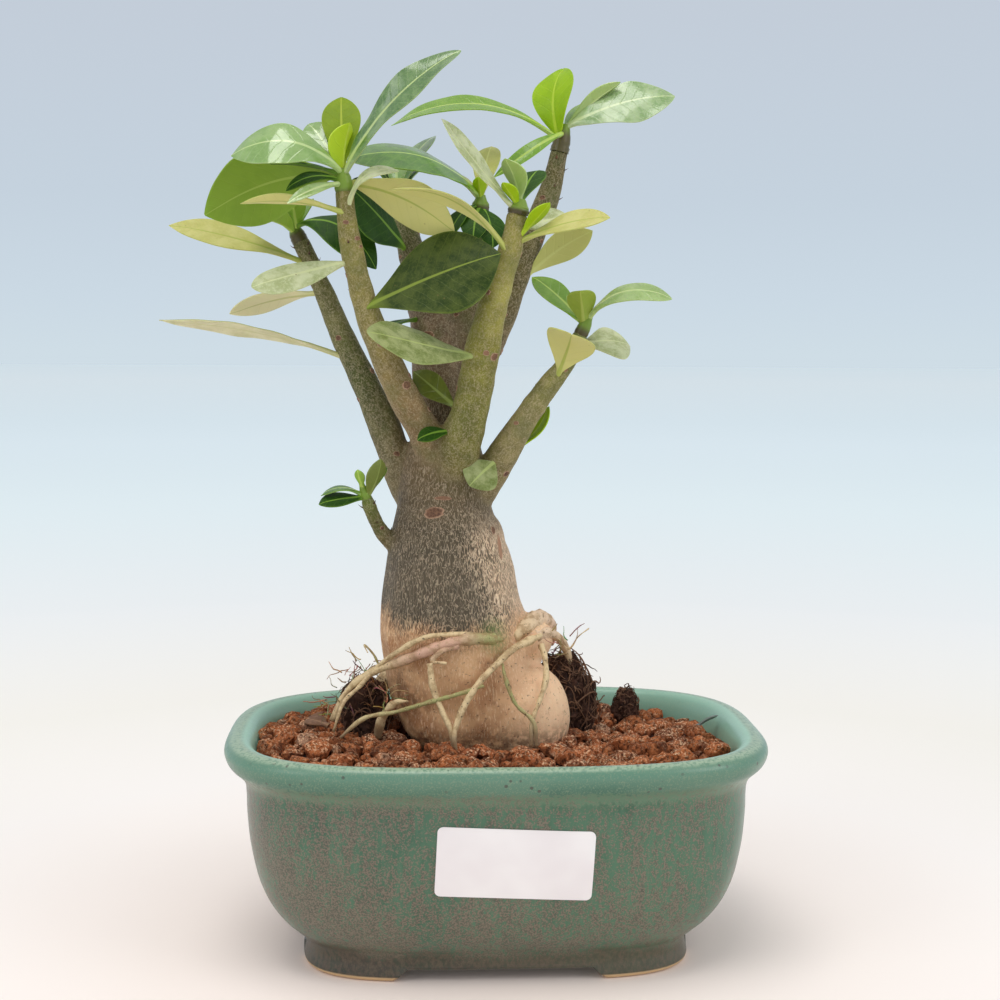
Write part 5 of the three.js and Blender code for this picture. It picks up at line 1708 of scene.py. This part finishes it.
barkMarks = {
    "scars": [
        # place, half width, half height, turn, tone
        ((-17.7, -9, 122.8), 3.1, 1.9, 8, 0.0),
        ((-15.0, -8, 126.5), 2.8, 0.6, 0, 0.35),
        ((-0.1, -2, 117.0), 0.9, 1.4, -20, 0.0),
        ((1.4, -2, 112.0), 1.0, 4.0, -16, 0.8),
        ((-40.9, -14, 200.3), 1.0, 0.6, 0, 0.3),
        ((-37.8, -13, 196.2), 1.1, 0.7, 10, 0.3),
        ((-24.5, -9, 157.1), 1.5, 1.2, 10, 0.2),
        ((-21.8, -7, 160.6), 1.2, 0.8, 0, 0.3),
        ((-18.6, 12, 170.6), 2.2, 1.3, 0, 0.1),
        ((-3.0, -14, 165.5), 1.0, 0.8, 0, 0.4),
    ],
    "perBranch": {"farLeft": 8, "frontLeft": 6, "middle": 7, "middleRight": 4, "frontRight": 6,
                  "rearRight": 9, "lowRight": 6, "twig": 3},
    # how many, from here to there along the branch
    "scales": {"farLeft": (7, 0.93, 1.0), "rearRight": (9, 0.80, 1.0), "lowRight": (7, 0.86, 1.0),
               "twig": (6, 0.3, 0.9), "frontLeft": (3, 0.4, 0.9), "middle": (4, 0.3, 0.7)},
    "golden": 137.5,
    # inset and rise, from the rim to the middle
    "scarSteps": [(0.16, 0.26), (0.18, 0.04), (0.12, -0.12), (0.2, 0.03), (0.2, 0.02)],
    "scarSink": -0.10,
    "scarSeed": 4,
    "scarSpan": (0.25, 0.7),
    "scarStray": 0.3,
    "scarWidth": (0.16, 0.26),
    "scarLeast": 0.25,
    "scarFlat": (0.6, 0.9),
    "scarTurn": 20,
    "scarPitch": 3,
    "scarLump": (0.25, 0.10),
    "scaleSeed": 9,
    "scaleSink": 0.2,
    "scaleTurn": 20,
    "scaleLean": (0.2, 0.9),
    "scaleSize": (0.7, 1.25),
    "scaleFlat": 0.45,
    "scaleCurl": 0.22,
}


def makeScar():
    bpy.ops.mesh.primitive_circle_add(vertices=24, radius=1, fill_type="NGON", location=(0, 0, 0))
    scar = bpy.context.object
    edit(scar)
    bpy.ops.transform.translate(value=(0, 0, barkMarks["scarSink"]))
    for thickness, rise in barkMarks["scarSteps"]:
        bpy.ops.mesh.inset(thickness=thickness)
        bpy.ops.transform.translate(value=(0, 0, rise))
    bpy.ops.mesh.poke()
    leaveEdit()
    return scar


def seat(piece, spot, across, up, turn, depth=1.0):
    toMesh = at(*spot)
    _, ground, normal, _ = plantBody.closest_point_on_mesh(toMesh)
    side = Vector((0, 0, 1)).cross(normal).normalized()
    side.rotate(Matrix.Rotation(math.radians(turn), 3, normal))
    rise = normal.cross(side)
    for vertex in piece.data.vertices:
        x, y, z = vertex.co
        over = ground + side * x * across * mm + rise * y * up * mm
        _, found, outwards, _ = plantBody.closest_point_on_mesh(over)
        vertex.co = found + outwards * z * depth * mm


def makeScars():
    master = makeScar()
    rings = [math.hypot(vertex.co.x, vertex.co.y) for vertex in master.data.vertices]
    draw = random.Random(barkMarks["scarSeed"])
    first, length = barkMarks["scarSpan"]
    stray, most = barkMarks["scarStray"], barkMarks["scarTurn"]
    spots = list(barkMarks["scars"])
    for name, count in barkMarks["perBranch"].items():
        branch = branches[name]
        for index in range(count):
            t = first + length * (index + draw.uniform(-stray, stray)) / count
            radius = valueAlong(branch["radii"], t)
            out = direction(barkMarks["golden"] * index + 40 * len(name), 0)
            spot = trace(branch["points"], t) + out * radius
            width = draw.uniform(*barkMarks["scarWidth"]) * radius + barkMarks["scarLeast"]
            height = width * draw.uniform(*barkMarks["scarFlat"])
            spots.append((tuple(spot), width, height, draw.uniform(-most, most), draw.random() * 0.5))
    scars = []
    pitch, (sideways, upwards) = barkMarks["scarPitch"], barkMarks["scarLump"]
    for spot, across, up, turn, tone in spots:
        scar = copyOf(master)
        for vertex in scar.data.vertices:
            lump = noise.noise(Vector((vertex.co.x, vertex.co.y, across * 3)) * pitch)
            vertex.co.xy *= 1 + sideways * lump
            vertex.co.z += upwards * lump
        seat(scar, spot, across, up, turn, min(1.4, 0.5 + 0.3 * across))
        tagPoints(scar, "ring", [(ring, tone, 0) for ring in rings])
        scars.append(scar)
    bpy.data.objects.remove(master)
    whole = joined(scars, "scars")
    shadeSmooth(whole, 60)
    return whole


def scarFinish():
    made = Finish("scarBark")
    here = made.place(inMillimetres)
    ring, tone, _ = made.split(made.tag("ring"))
    grain = made.cloud(here, 1.6, 4, 0.7)
    middle = made.blend(made.span(grain, 0.4, 0.62), paint(82, 54, 38), paint(126, 88, 62))
    middle = made.blend(tone, middle, paint(176, 132, 102))
    rim = made.blend(made.span(grain, 0.4, 0.62), paint(158, 118, 94), paint(184, 150, 122))
    colour = made.blend(made.span(ring, 0.66, 0.84), middle, rim)
    colour = made.blend(made.span(ring, 0.86, 1.0), colour, paint(128, 112, 88))
    made.feed("Base Color", colour)
    made.feed("Normal", made.bump(grain, 0.6, 0.0004))
    made.set(Roughness=0.75)
    return made.material


def makeScale():
    bpy.ops.mesh.primitive_cone_add(vertices=6, radius1=0.5, radius2=0.06, depth=1.6, location=(0, 0, 0))
    scale = bpy.context.object
    edit(scale)
    bpy.ops.transform.translate(value=(0, 0, 0.7))
    bpy.ops.mesh.subdivide(number_cuts=2)
    leaveEdit()
    for vertex in scale.data.vertices:
        vertex.co.y = vertex.co.y * barkMarks["scaleFlat"] + barkMarks["scaleCurl"] * vertex.co.z ** 2
    return scale


def makeScales():
    master = makeScale()
    draw = random.Random(barkMarks["scaleSeed"])
    most = barkMarks["scaleTurn"]
    scales = []
    for name, (count, low, high) in barkMarks["scales"].items():
        branch = branches[name]
        for index in range(count):
            t = mix(low, high, (index + 0.5) / count)
            out = direction(barkMarks["golden"] * index + draw.uniform(-most, most), 0)
            spot = trace(branch["points"], t) + out * valueAlong(branch["radii"], t)
            _, ground, normal, _ = plantBody.closest_point_on_mesh(at(*spot))
            lean = normal + heading(branch["points"], t) * draw.uniform(*barkMarks["scaleLean"])
            turned = lean.normalized().to_track_quat("Z", "Y").to_matrix().to_4x4()
            size = draw.uniform(*barkMarks["scaleSize"]) * mm
            stretch = Matrix.Diagonal((size, size, size, 1))
            scale = copyOf(master)
            seated = Matrix.Translation(ground - normal * barkMarks["scaleSink"] * mm)
            scale.data.transform(seated @ turned @ stretch)
            scales.append(scale)
    bpy.data.objects.remove(master)
    whole = joined(scales, "scales")
    shadeSmooth(whole, 40)
    return whole


hand(makeScars(), "bark_scars", scarFinish(), "bark")
scaleSkin = grainFinish("budScale", (1200, 4, 0.7), (0.38, 0.62), (58, 40, 32), (122, 82, 58),
                        (0.6, 0.0003), 0.7)
hand(makeScales(), "bud_scales", scaleSkin, "bark")
print("bark marked")


# dry scraps on the soil

dryFlakes = {
    "dry_flake_1": dict(look="dry", at=(-56, 16, 58.5), heading=25, rise=4, length=11, width=4.5, bow=0.05,
        roll=18),
    "dry_flake_2": dict(look="dry", at=(-47, 4, 60), heading=140, rise=4, length=9, width=6, bow=0.05,
        roll=-12),
    "dry_flake_3": dict(look="dry", at=(-44, 26, 59.5), heading=60, rise=4, length=8, width=5, bow=0.05,
        roll=8),
    "dry_flake_4": dict(look="sliver", at=(58, 9, 57.2), heading=18, rise=22, length=9, width=3, bow=0.05,
        roll=-30),
}

for index, (name, flake) in enumerate(dryFlakes.items()):
    piece = makeLeaf(slab, flake, Vector(flake["at"]), 50 + index)
    hand(piece, name.replace("dry_", "crisp_"), leafSkin, "dry_leaf", name)

bpy.data.objects.remove(slab)
print("dry scraps laid")
